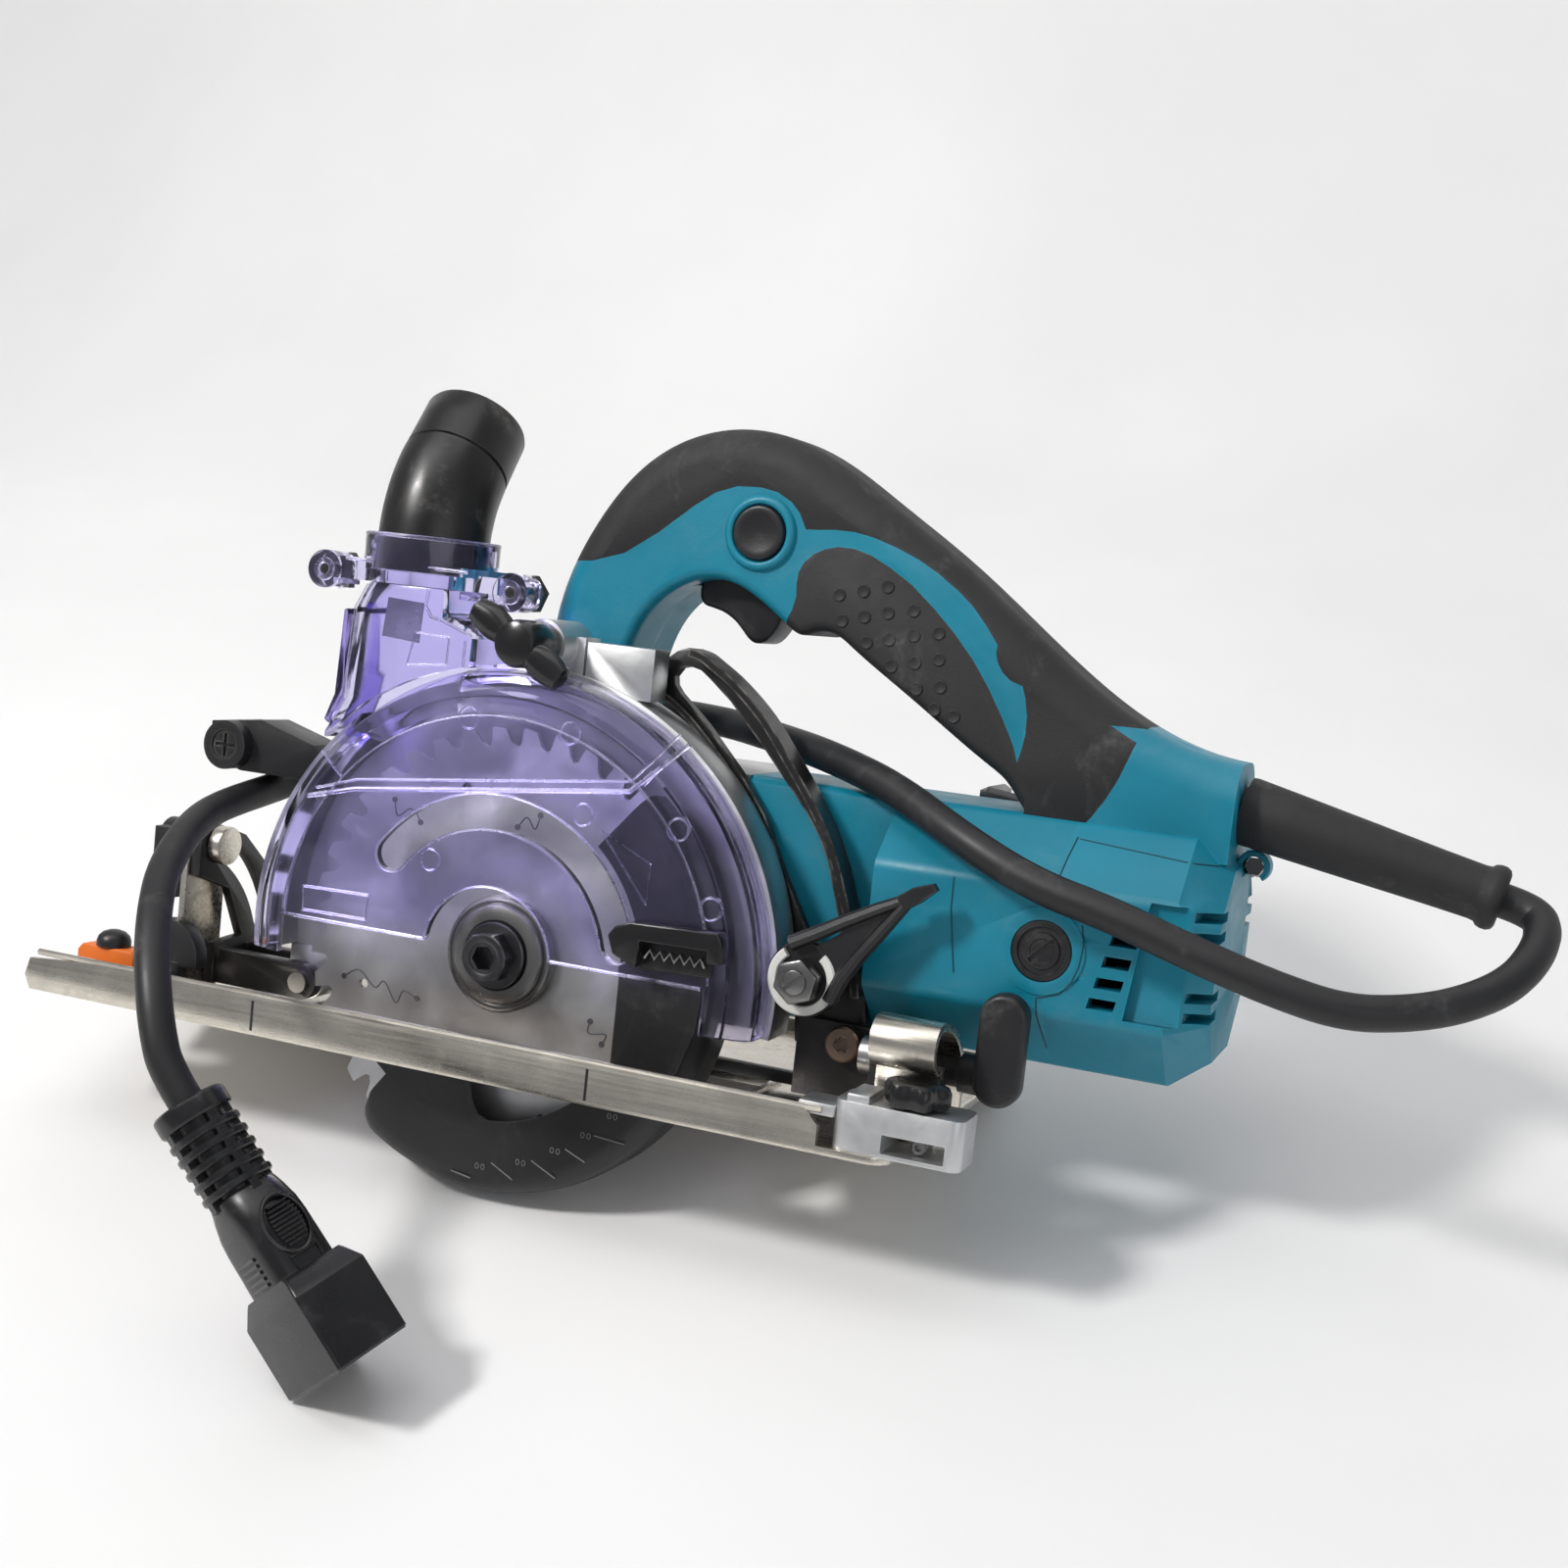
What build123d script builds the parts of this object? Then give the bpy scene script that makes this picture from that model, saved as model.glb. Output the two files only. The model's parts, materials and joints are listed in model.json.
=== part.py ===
# Compact dust-collecting circular saw, built piece by piece.
# Saw frame while modelling (mm): X to the rear, Y to the saw's right, Z up,
# sole at Z = 0, blade plane at Y = 0.  Every piece is then turned by one lean
# angle and moved so that the saw lies on its bench at z = 0.
import os
from math import sin, cos, tan, atan2, radians, degrees, pi, sqrt, hypot
from build123d import *

os.makedirs("parts", exist_ok=True)

# ---------------------------------------------------------------- dimensions
BLADE_R, BLADE_T, BLADE_TEETH = 62.5, 1.4, 40
SPX, SPZ = 0.0, 30.0                  # spindle axis
MY, MZ = 38.0, 54.0                   # motor axis (runs along X)
MOTOR_R, MOTOR_H, MOTOR_C, MOTOR_RI = 33.5, 32.0, 16.0, 29.5   # half width, half height, half flat, bore radius
MOTOR_X0, SEAM_X, REAR_X = 101.0, 149.0, 189.0
CASE_R, COVER_R = 79.0, 78.0
CASE_Y0, CASE_Y1, CASE_BACK = 2.0, 15.0, 12.5
COV_Y0, COV_Y1 = -12.0, -10.0
GUARD_RO, GUARD_RI = 65.5, 63.8
PVX, PVZ = -70.0, 9.0                 # depth pivot
BTX, BTZ = 88.0, 38.0                 # depth clamp bolt
SLOT_R = hypot(BTX - PVX, BTZ - PVZ)
BVY, BVZ = -14.0, 5.0                 # bevel axis (runs along X)
BASE_X0, BASE_X1, BASE_Y0, BASE_Y1, BASE_T, LIP_H = -141.0, 122.0, -25.5, 95.0, 2.0, 11.0
OPEN_X0, OPEN_X1, OPEN_Y0, OPEN_Y1 = -64.0, 72.0, -11.5, 28.0
BRUSH_X = 147.0
CORD_R = 4.4
NOZ_R, NOZ_RI, NOZ_BEND, NOZ_BR, NOZ_SL = 14.7, 12.4, 36.0, 38.7, 17.0   # radii, bend angle, bend radius, outlet length
LEAN = -degrees(atan2(35.5, 88.0))    # lower guard and base edge both touch the bench

PARTS = {}


def add(name, shape):
    PARTS[name] = shape


# ---------------------------------------------------------------- helpers
def bx(x0, x1, y0, y1, z0, z1):
    return Pos((x0 + x1) / 2, (y0 + y1) / 2, (z0 + z1) / 2) * Box(x1 - x0, y1 - y0, z1 - z0)


def cy(x, z, y0, y1, r):
    return Pos(x, (y0 + y1) / 2, z) * Rot(90, 0, 0) * Cylinder(r, y1 - y0)


def cx(y, z, x0, x1, r):
    return Pos((x0 + x1) / 2, y, z) * Rot(0, 90, 0) * Cylinder(r, x1 - x0)


def cz(x, y, z0, z1, r):
    return Pos(x, y, (z0 + z1) / 2) * Cylinder(r, z1 - z0)


def prism_y(pts, y0, y1):
    w = Polyline(*[(p[0], y0, p[1]) for p in pts], close=True)
    return extrude(make_face(w), amount=y1 - y0, dir=(0, 1, 0))


def prism_x(pts, x0, x1):
    w = Polyline(*[(x0, p[0], p[1]) for p in pts], close=True)
    return extrude(make_face(w), amount=x1 - x0, dir=(1, 0, 0))


def pt(r, a, c=(0.0, 0.0)):
    return c[0] + r * cos(radians(a)), c[1] + r * sin(radians(a))


def sector(r0, r1, a0, a1, t0, t1, c=(SPX, SPZ), axis="y", round_ends=False):
    """ring sector; centre c in (X,Z) for axis y or (Y,Z) for axis x."""
    def v(r, a):
        p = pt(r, a, c)
        return (p[0], t0, p[1]) if axis == "y" else (t0, p[0], p[1])
    am = (a0 + a1) / 2
    e = [ThreePointArc(v(r0, a0), v(r0, am), v(r0, a1)), Line(v(r0, a1), v(r1, a1)),
         ThreePointArc(v(r1, a1), v(r1, am), v(r1, a0)), Line(v(r1, a0), v(r0, a0))]
    d = (0, 1, 0) if axis == "y" else (1, 0, 0)
    s = extrude(make_face(Wire(e)), amount=t1 - t0, dir=d)
    if round_ends:
        rm, hw = (r0 + r1) / 2, (r1 - r0) / 2
        for a in (a0, a1):
            p = pt(rm, a, c)
            s += cy(p[0], p[1], t0, t1, hw) if axis == "y" else cx(p[0], p[1], t0, t1, hw)
    return s


def tube_y(x, z, y0, y1, ro, ri):
    return cy(x, z, y0, y1, ro) - cy(x, z, y0 - 1, y1 + 1, ri)


def tube_x(y, z, x0, x1, ro, ri):
    return cx(y, z, x0, x1, ro) - cx(y, z, x0 - 1, x1 + 1, ri)


def hex_pts(r, c=(0, 0), a0=0.0):
    return [pt(r, a0 + 60 * i, c) for i in range(6)]


def gear_pts(n, rp, add_, ded, frac, phase):
    """trapezoid teeth; phase = angle of one tooth centre."""
    pts = []
    p = 360.0 / n
    wt, wr = p * frac * 0.32, p * frac * 0.64
    for i in range(n):
        a = phase + i * p
        pts += [pt(rp - ded, a - wr), pt(rp + add_, a - wt), pt(rp + add_, a + wt), pt(rp - ded, a + wr)]
    return pts


def try_fillet(shape, edges, radii):
    for r in radii:
        try:
            s = fillet(edges, r)
            if s.is_valid and s.volume > 0:
                return s
        except Exception:
            continue
    print("  fillet skipped", radii)
    return shape


def biggest(s, vmin=20.0):
    so = [q for q in s.solids() if q.volume > vmin]
    r = Part() + so[0]
    for q in so[1:]:
        r += q
    return r


def motor_block(x0, x1, f=4.5):
    """eight-sided motor section with soft long edges."""
    h, k, c = MOTOR_R, MOTOR_H, MOTOR_C
    s = prism_x([(MY + a, MZ + b) for a, b in ((h, -c), (h, c), (c, k), (-c, k), (-h, c), (-h, -c), (-c, -k), (c, -k))], x0, x1)
    return try_fillet(s, s.edges().filter_by(Axis.X), [f, 3.0])


# ---------------------------------------------------------------- blade and spindle line
teeth = []
for i in range(BLADE_TEETH):
    a = -i * 360.0 / BLADE_TEETH
    p = 360.0 / BLADE_TEETH
    # cutting edge leads toward the front-up direction, gullet behind it
    teeth += [pt(BLADE_R, a, (SPX, SPZ)), pt(BLADE_R - 0.6, a - p * 0.42, (SPX, SPZ)),
              pt(BLADE_R - 4.2, a - p * 0.62, (SPX, SPZ)), pt(BLADE_R - 5.4, a - p * 0.80, (SPX, SPZ)),
              pt(BLADE_R - 4.6, a - p * 0.94, (SPX, SPZ))]
blade = prism_y(teeth, -BLADE_T / 2, BLADE_T / 2)
blade -= cy(SPX, SPZ, -2, 2, 10.0)
for k in range(4):                    # expansion slots
    a = 20 + 90 * k
    p0, p1 = pt(BLADE_R - 16, a, (SPX, SPZ)), pt(BLADE_R - 5, a + 3.0, (SPX, SPZ))
    blade -= cy(p0[0], p0[1], -2, 2, 1.4)
add("saw_blade", blade)

of_ = tube_y(SPX, SPZ, -5.0, -0.7, 16.0, 6.0) + tube_y(SPX, SPZ, -6.0, -5.0, 13.6, 6.0)
add("outer_flange", of_)
bolt = cy(SPX, SPZ, -12.5, -6.0, 7.2) - prism_y(hex_pts(3.5, (SPX, SPZ), 15), -13, -8.0)
bolt += cy(SPX, SPZ, -6.0, -5.0, 5.9)
add("blade_bolt", bolt)
add("spindle", cy(SPX, SPZ, -5.0, 63.0, 6.0) + cy(SPX, SPZ, 0.7, 5.0, 16.0) + cy(SPX, SPZ, -0.7, 0.7, 10.0))
SPUR_Y0, SPUR_Y1 = 48.0, 56.0
gs = gear_pts(22, 16.5, 1.1, 1.7, 0.42, 90.0 + 360.0 / 44)
add("spur_gear", prism_y([(SPX + p[0], SPZ + p[1]) for p in gs], SPUR_Y0, SPUR_Y1) - cy(SPX, SPZ, 40, 60, 6.0))

# ---------------------------------------------------------------- intermediate shaft
ISZ = MZ
gp = gear_pts(10, 7.5, 1.1, 1.7, 0.42, -90.0)
add("intermediate_shaft", prism_y([(p[0], ISZ + p[1]) for p in gp], SPUR_Y0, SPUR_Y1) + cy(0, ISZ, 17.0, 63.0, 4.0))
BEV_R1, BEV_R2 = 8.0, 16.0            # pinion and gear pitch radii


def bevel(pts, apex, axis, dist, s1):
    """ruled cone of a tooth outline, from its large end to scale s1 toward the apex."""
    def face(s):
        if axis == "x":
            q = [(apex[0] + dist * s, apex[1] + p[0] * s, apex[2] + p[1] * s) for p in pts]
        else:
            q = [(apex[0] + p[0] * s, apex[1] - dist * s, apex[2] + p[1] * s) for p in pts]
        return make_face(Polyline(*q, close=True))
    return loft([face(1.0), face(s1)], ruled=True)


APEX = (0.0, MY, MZ)
bg = bevel(gear_pts(20, BEV_R2, 0.8, 2.2, 0.42, 9.0), APEX, "y", BEV_R1, 0.66)
bg += cy(0, MZ, MY - BEV_R1 - 4.0, MY - BEV_R1, 12.0)
add("bevel_gear", bg - cy(0, MZ, 20, 50, 4.0))
bp = bevel(gear_pts(10, BEV_R1, 0.8, 1.6, 0.42, 180.0), APEX, "x", BEV_R2, 0.66)
bp += cx(MY, MZ, BEV_R2, BEV_R2 + 4.0, 6.0)
add("gear_bearings", tube_y(0, ISZ, 17.0, 22.0, 9.0, 4.03) + tube_y(0, ISZ, 58.0, 63.0, 9.0, 4.03)
    + tube_y(SPX, SPZ, 7.0, 17.0, 14.0, 6.03) + tube_y(SPX, SPZ, 57.0, 63.0, 11.0, 6.03))

# ---------------------------------------------------------------- motor internals
add("armature_shaft", bp + cx(MY, MZ, 10.8, 180.0, 4.0))
core = cx(MY, MZ, 111.0, 136.0, 17.4)
for k in range(12):
    p = pt(15.4, 30 * k, (MY, MZ))
    core -= cx(p[0], p[1], 110, 137, 1.7)
core -= cx(MY, MZ, 100, 140, 4.0)
add("armature_core", core)
add("commutator", tube_x(MY, MZ, 139.0, 155.0, 11.5, 4.0))
fan = tube_x(MY, MZ, 101.2, 107.6, 8.0, 4.0) + tube_x(MY, MZ, 106.2, 107.6, 27.0, 8.0)
for k in range(14):
    blade_ = Pos(103.8, 17.0, 0) * Box(4.9, 18.6, 1.4)
    fan += Pos(0, MY, MZ) * Rot(360.0 / 14 * k, 0, 0) * blade_
add("fan", fan)
stator = tube_x(MY, MZ, 111.0, 136.0, MOTOR_RI, 24.0)
for s in (1, -1):
    stator += (sector(18.2, 25.0, 40 if s > 0 else 220, 140 if s > 0 else 320, 111.0, 136.0, (MY, MZ), "x"))
add("stator_core", stator)
coil = Part()
for s in (1, -1):
    c0 = sector(19.0, 23.6, -26 + (0 if s > 0 else 180), 26 + (0 if s > 0 else 180), 108.8, 138.4, (MY, MZ), "x")
    coil += c0
add("field_coils", coil)
add("motor_bearings", tube_x(MY, MZ, 70.0, 77.0, 11.0, 4.03) + tube_x(MY, MZ, 170.0, 177.0, 11.0, 4.03))
bh, br, bc = Part(), Part(), Part()
for s in (-1, 1):
    y = lambda d: MY + s * d
    ya, yb = sorted((y(13.2), y(31.3)))
    bh += bx(BRUSH_X - 6, BRUSH_X + 6, ya, yb, MZ - 5, MZ + 5) - bx(BRUSH_X - 4, BRUSH_X + 4, ya - 1, yb + 1, MZ - 3, MZ + 3)
    ya, yb = sorted((y(11.53), y(24.0)))
    br += bx(BRUSH_X - 3.95, BRUSH_X + 3.95, ya, yb, MZ - 2.95, MZ + 2.95)
    ya, yb = sorted((y(31.3), y(34.2)))
    c = cy(BRUSH_X, MZ, ya, yb, 7.8)
    sl = sorted((y(33.0), y(36)))
    c -= bx(BRUSH_X - 6.5, BRUSH_X + 6.5, sl[0], sl[1], MZ - 0.9, MZ + 0.9)
    bc += c
add("brush_holders", bh)
add("carbon_brushes", br)
add("brush_caps", bc)

# ---------------------------------------------------------------- motor housing and rear cover
mh = motor_block(MOTOR_X0, SEAM_X) - cx(MY, MZ, MOTOR_X0 - 1, SEAM_X + 1, MOTOR_RI)
boss = Part()
for s in (-1, 1):
    ya, yb = sorted((MY + s * 20.0, MY + s * 34.0))
    boss += cy(BRUSH_X, MZ, ya, yb, 11.0)
boss -= cx(MY, MZ, 90, 190, MOTOR_RI)
mh += boss
for s in (-1, 1):
    ya, yb = sorted((MY + s * 19.0, MY + s * 31.3))
    mh -= bx(BRUSH_X - 6, BRUSH_X + 6, ya, yb, MZ - 5, MZ + 5)
    ya, yb = sorted((MY + s * 31.3, MY + s * 40.0))
    mh -= cy(BRUSH_X, MZ, ya, yb, 7.85)



def octa_face(x, d):
    h, k, c = MOTOR_R - d, MOTOR_H - d, MOTOR_C - 0.4 * d
    return make_face(Polyline(*[(x, MY + p, MZ + q) for p, q in ((h, -c), (h, c), (c, k), (-c, k), (-h, c), (-h, -c), (-c, -k), (c, -k))], close=True))


rear_out = motor_block(SEAM_X, REAR_X) & (bx(SEAM_X - 1, 179.0, -20, 100, 0, 110) + loft([octa_face(179.0, 0.0), octa_face(REAR_X, 7.5)], ruled=True))
rc = rear_out - cx(MY, MZ, SEAM_X - 1, 165.0, MOTOR_RI) - cx(MY, MZ, 160.0, 180.5, 27.0)
rc += tube_x(MY, MZ, 170.0, 183.0, 14.0, 11.0)
rc += cx(MY, MZ, 180.5, 183.0, 13.0)
for s in (-1, 1):
    ya, yb = sorted((MY + s * 15.0, MY + s * 40.0))
    rc -= cy(BRUSH_X, MZ, ya, yb, 11.0)
for s in (-1, 1):
    ya, yb = sorted((MY + s * 31.0, MY + s * 40.0))
    rc -= prism_y([(172.5, 70.0), (169.0, 40.0), (195.0, 40.0), (195.0, 70.0)], ya, yb)    # side recess
    ya, yb = sorted((MY + s * 10.0, MY + s * 40.0))
    for xa, zc in ((165.0, 65.0), (163.8, 59.4), (162.5, 53.8), (161.2, 48.3), (159.9, 43.0)):   # side air slots, stepped with the recess
        rc -= prism_y([(xa - 0.3, zc - 1.4), (xa + 6.5, zc - 1.4), (xa + 7.1, zc + 1.4), (xa + 0.3, zc + 1.4)], ya, yb)
    ya, yb = sorted((MY + s * 17.0, MY + s * 33.0))
    for zc in (67.6, 62.6, 47.6, 42.6):
        rc -= bx(183.0, 192.0, ya, yb, zc - 1.3, zc + 1.3)
add("rear_cover", rc)

# ---------------------------------------------------------------- gear housing
gh = bx(-26, 58, 15, 66, 30, 86) + cy(SPX, SPZ, 15, 66, 21.5)
gh = gh + motor_block(58, 101)
gh -= bx(58, 110, -10, 20.0, 0, 100)
gh -= bx(40, 58.1, -10, 20.0, 0, 40)
gh -= bx(33, 58.1, -10, 20.0, 70, 90)      # room for the depth guide's inner arm
e = gh.edges().filter_by(Axis.Y).filter_by(lambda q: q.center().Z > 80 and abs(q.center().X + 26) < 1)
gh = try_fillet(gh, e, [10.0, 6.0])
# inside
cav = bx(-21, 54, 23, 57, 34, 82) + cy(SPX, SPZ, 20, 57, 18.6)
gh -= cav
gh += tube_x(MY, MZ, 54, 62, 15, 8)
gh -= cx(MY, MZ, 50, 70.1, 8.0)
gh -= cx(MY, MZ, 82, 101.5, 29.0) & bx(80, 102, 22.5, 80, 0, 100)
gh -= cx(MY, MZ, 70, 77, 11.0) + cx(MY, MZ, 77, 83, 9.0)
gh += cy(SPX, SPZ, 5.4, 15.0, 19.5)
gh -= cy(SPX, SPZ, 7.0, 17.0, 14.0) + cy(SPX, SPZ, 5.0, 58.0, 9.0)
gh -= cy(SPX, SPZ, 57.0, 63.0, 11.0)
gh += cy(0, ISZ, 17, 23.5, 12.0) + cy(0, ISZ, 57.0, 66.0, 12.0)
gh -= cy(0, ISZ, 17, 22, 9.0) + cy(0, ISZ, 58, 63, 9.0) + cy(0, ISZ, 16.9, 63.2, 5.5)
gh -= cy(SPX, SPZ, 56.9, 63.2, 11.0)
# lug that takes the depth bolt
lug = prism_y([(60, 30), (98, 26), (98, 50), (60, 60)], 20.0, 27.0) - cx(MY, MZ, 40, 110, 29.0)
gh += lug
gh -= cy(BTX, BTZ, 10, 27.5, 3.0)
neck = gh & bx(58, 110, -50, 120, -20, 140)      # the front of the motor housing, up to the gear housing's flange
gh = gh & bx(-60, 58, -50, 120, -20, 140)
add("gear_housing", gh)
add("motor_housing", mh + neck)

# ---------------------------------------------------------------- blade case
case = sector(CASE_R - 3, CASE_R, -8, 188, CASE_Y0, CASE_Y1)
wall = cy(SPX, SPZ, CASE_BACK, CASE_Y1, CASE_R) & bx(-90, 90, 0, 30, 19.0, 120)
wall -= cy(SPX, SPZ, 0, 30, 19.5)
case += wall
# depth pivot lug
lg = prism_y([(-76.5, 26), (-60, 26), (-63.5, 9), (-70, 3.5), (-76.5, 9)], 11.0, 20.0) - bx(-90, -40, 10, 12.5, 19, 40)
case += lg & bx(-80, -50, 11, 20, 3, 30)
case += cy(PVX, PVZ, 11.0, 20.0, 5.4)
case -= cy(PVX, PVZ, 0, 40, 3.05)
# wing-knob boss and front bracket boss
case += bx(-5, 13, 4, 13, 106.5, 118) - cy(SPX, SPZ, 0, 30, CASE_R - 0.5)
case += cy(4, 115, -4.0, 13, 7.0) - cy(SPX, SPZ, -10, 2, CASE_R)
case += bx(14, 34, 3.5, 13, 103, 117) - cy(SPX, SPZ, 0, 30, CASE_R - 0.5)
case -= bx(-53, -17, -6, 11.5, 80, 120) & cy(SPX, SPZ, -10, 30, CASE_R + 20) & bx(-60, -10, 0, 11.5, 85, 120)
case += cy(4, 115, -14.0, 0.0, 3.0)
add("blade_case", case)

# ---------------------------------------------------------------- clear dust cover
cov = cy(SPX, SPZ, COV_Y0, CASE_Y0, COVER_R)
cov = try_fillet(cov, cov.edges().filter_by(GeomType.CIRCLE).sort_by(Axis.Y)[:1], [6.0, 4.0])
inner = cy(SPX, SPZ, COV_Y1, CASE_Y0 + 1, COVER_R - 2.3)
inner = try_fillet(inner, inner.edges().filter_by(GeomType.CIRCLE).sort_by(Axis.Y)[:1], [4.0, 2.5])
cov -= inner
keep = bx(-90, 90, -20, 5, 32, 120) + bx(64, 90, -20, 5, 20, 33) + bx(-90, -66, -20, 5, 21, 33)
cov &= keep
cov -= cy(SPX, SPZ, -20, 5, 19.0)
cov -= sector(35.0, 44.0, 9, 148, -20, -5)
cov -= bx(-53, -17, -9, 0, 85, 120)
cov -= cy(4, 115, -20, 10, 8.0)
add("dust_cover", cov)

# ---------------------------------------------------------------- duct, collar, nozzle
DX0, DX1, DY0, DY1 = -58.0, -12.0, -10.5, 13.5
duct = bx(DX0, DX1, DY0, DY1, 80, 127)
duct -= cy(SPX, SPZ, -30, 2, COVER_R) + cy(SPX, SPZ, 2, 30, CASE_R)
duct -= bx(DX0 + 2.6, DX1 - 2.6, DY0 + 2.6, DY1 - 2.6, 70, 130)
add("dust_duct", duct)
NX, NY, NZ0 = -35.2, 1.5, 131.0
NPL = Plane(origin=(NX, NY, NZ0), z_dir=(0, 0, 1))


def nz(z0, z1, r, r2=None):
    s = Cylinder(r, z1 - z0) if r2 is None else Cone(r, r2, z1 - z0)
    return NPL.location * Pos(0, 0, (z0 + z1) / 2) * s


col = bx(-60, -9, -12.0, 15.5, 127, 133.0)
col = try_fillet(col, col.edges().filter_by(Axis.Z), [7.0, 4.0])
EARS = ((-60.5, 129.0), (-2.5, 128.0))
for ex, ez in EARS:                   # lugs for the two clamp screws
    col += cy(ex, ez, -12.4, -3.5, 5.2)
col += bx(-60.5, -50, -11.5, -4.0, 125.6, 132.4) + bx(-18, -2.5, -11.5, -4.0, 124.6, 131.4)
col += nz(-4, 9, 18.4)
col -= bx(-90, 20, -3.4, 30, 110, 127) + bx(-58.1, -11.9, -10.6, 0, 110, 127)
col -= nz(-0.5, 20, 15.96)
col -= nz(-12, 2, 13.6)
for ex, ez in EARS:
    col -= cy(ex, ez, -20, 4, 1.65)
    col -= cy(ex, ez, -3.45, -0.5, 5.75)
add("duct_collar", biggest(col, 5.0))
scr = Part()
for ex, ez in EARS:
    scr += cy(ex, ez, -12.0, -0.6, 1.6) + prism_y(hex_pts(5.6, (ex, ez), 8), -3.4, -0.6) - bx(DX0 - 0.1, DX1 + 0.1, -5, 5, 110, 127.05)
# nozzle: foot in the collar, bend to the back, straight outlet
NCE = (NX, NY + NOZ_BR, NZ0 + 6.3)
nb = radians(NOZ_BEND)
OUTP = Plane(origin=(NX, NY + NOZ_BR * (1 - cos(nb)), NZ0 + 6.3 + NOZ_BR * sin(nb)), x_dir=(1, 0, 0), z_dir=(0, sin(nb), cos(nb)))


def elbow(r_foot, r_bend, r_out, z0, z1):
    """solid of the nozzle's outside or of its air way."""
    foot = nz(z0, 6.3, r_foot)
    bend = revolve(Plane(origin=(NX, NY, NZ0 + 6.3), z_dir=(0, 0, 1)) * Circle(r_bend), axis=Axis(NCE, (-1, 0, 0)), revolution_arc=NOZ_BEND)
    out_ = OUTP.location * Pos(0, 0, z1 / 2) * Cylinder(r_out, z1)
    return foot + bend + out_


noz = elbow(15.9, 15.2, NOZ_R, -0.4, NOZ_SL) - elbow(12.8, 12.6, NOZ_RI, -3.0, NOZ_SL + 3.0)
add("dust_nozzle", noz)

# ---------------------------------------------------------------- lower guard
gd = sector(GUARD_RI, GUARD_RO, -128, 50, -8.5, 7.1)
gd += sector(45.0, GUARD_RI + 0.5, -128, 50, -8.5, -7.1)
gd += sector(34.0, 46.0, -24, 32, -8.5, -7.1)
gd += sector(23.0, GUARD_RI + 0.5, -128, 50, 5.6, 7.1)
gd += tube_y(SPX, SPZ, 5.6, 10.2, 24.0, 19.55)
add("lower_guard", gd)
GL_A = 17.0


def radial(r0, r1, half, y0, y1, a):
    q = [(r0, -half), (r1, -half), (r1, half), (r0, half)]
    c_, s_ = cos(radians(a)), sin(radians(a))
    return prism_y([(SPX + p[0] * c_ - p[1] * s_, SPZ + p[0] * s_ + p[1] * c_) for p in q], y0, y1)


gl = radial(36.6, 42.6, 3.4, -13.0, -8.5, GL_A) + radial(36.6, 67.0, 4.6, -18.0, -13.0, GL_A)
gl = try_fillet(gl, gl.edges().filter_by(Axis.Y).filter_by(lambda q: q.center().Y < -13.5), [1.8, 1.0])
gl -= radial(46.0, 64.0, 2.4, -18.5, -15.5, GL_A)
add("guard_lever", gl)
try:
    hx = Helix(pitch=1.15, height=1.2, radius=21.6)
    prof = Plane(origin=hx @ 0, z_dir=hx % 0) * Circle(0.42)
    spr = sweep(prof, path=hx, is_frenet=True)
    spr = Pos(SPX, 12.02, SPZ) * Rot(90, 0, 0) * spr
    assert spr.is_valid and spr.volume > 1
except Exception as ex:
    print("spring fallback", ex)
    spr = Pos(SPX, 11.4, SPZ) * Rot(90, 0, 0) * Torus(21.6, 0.42)
add("guard_spring", spr)

# ---------------------------------------------------------------- handle
OUT = [(-9.5, 104), (-8.6, 128), (0.5, 150.5), (16.9, 170.2), (38.5, 178.9), (60, 176.6),
       (84, 163.8), (107.2, 149.0), (136.8, 127.0), (159.8, 112.5), (187.0, 105.0)]
INN = [(134.0, 86.0), (131.5, 88.9), (127.7, 93.4), (122.8, 96.7), (112.4, 103.2), (96.7, 113.4), (81.7, 123.1), (76.3, 126.2), (72.0, 126.4), (67.0, 125.0), (62.5, 127.2), (56.0, 131.8), (42.0, 137.6), (25.0, 130.5), (16.5, 114.0), (16.0, 100.0)]
HY0, HY1 = 22.0, 54.0


def handle_face(y):
    def v(p):
        return (p[0], y, p[1])
    e = [Spline(*[v(p) for p in OUT]), Line(v(OUT[-1]), v((187, 80))), Line(v((187, 80)), v((134, 80))), Line(v((134, 80)), v(INN[0])),
         Spline(*[v(p) for p in INN]), Line(v(INN[-1]), v((16, 86))), Line(v((16, 86)), v((-9.5, 86))), Line(v((-9.5, 86)), v(OUT[0]))]
    return make_face(Wire(e))


def side(q):
    return abs(q.center().Y - HY0) < 0.01 or abs(q.center().Y - HY1) < 0.01


hfull = extrude(handle_face(HY0), amount=HY1 - HY0, dir=(0, 1, 0))
hround = try_fillet(hfull, [q for q in hfull.edges() if side(q) and ((q.geom_type == GeomType.BSPLINE and q.length > 230) or
                                                                     (q.geom_type == GeomType.LINE and q.center().X < -9))], [10.0, 8.0, 6.0])
hround = try_fillet(hround, [q for q in hround.edges() if side(q) and ((q.geom_type == GeomType.BSPLINE and q.center().Z < 132) or
                                                                       (q.geom_type == GeomType.LINE and abs(q.center().X - 16) < 0.1))], [9.0, 7.0, 5.0, 3.0])
print("handle", hround.volume / hfull.volume)
hround -= motor_block(60, SEAM_X) + rear_out
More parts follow.
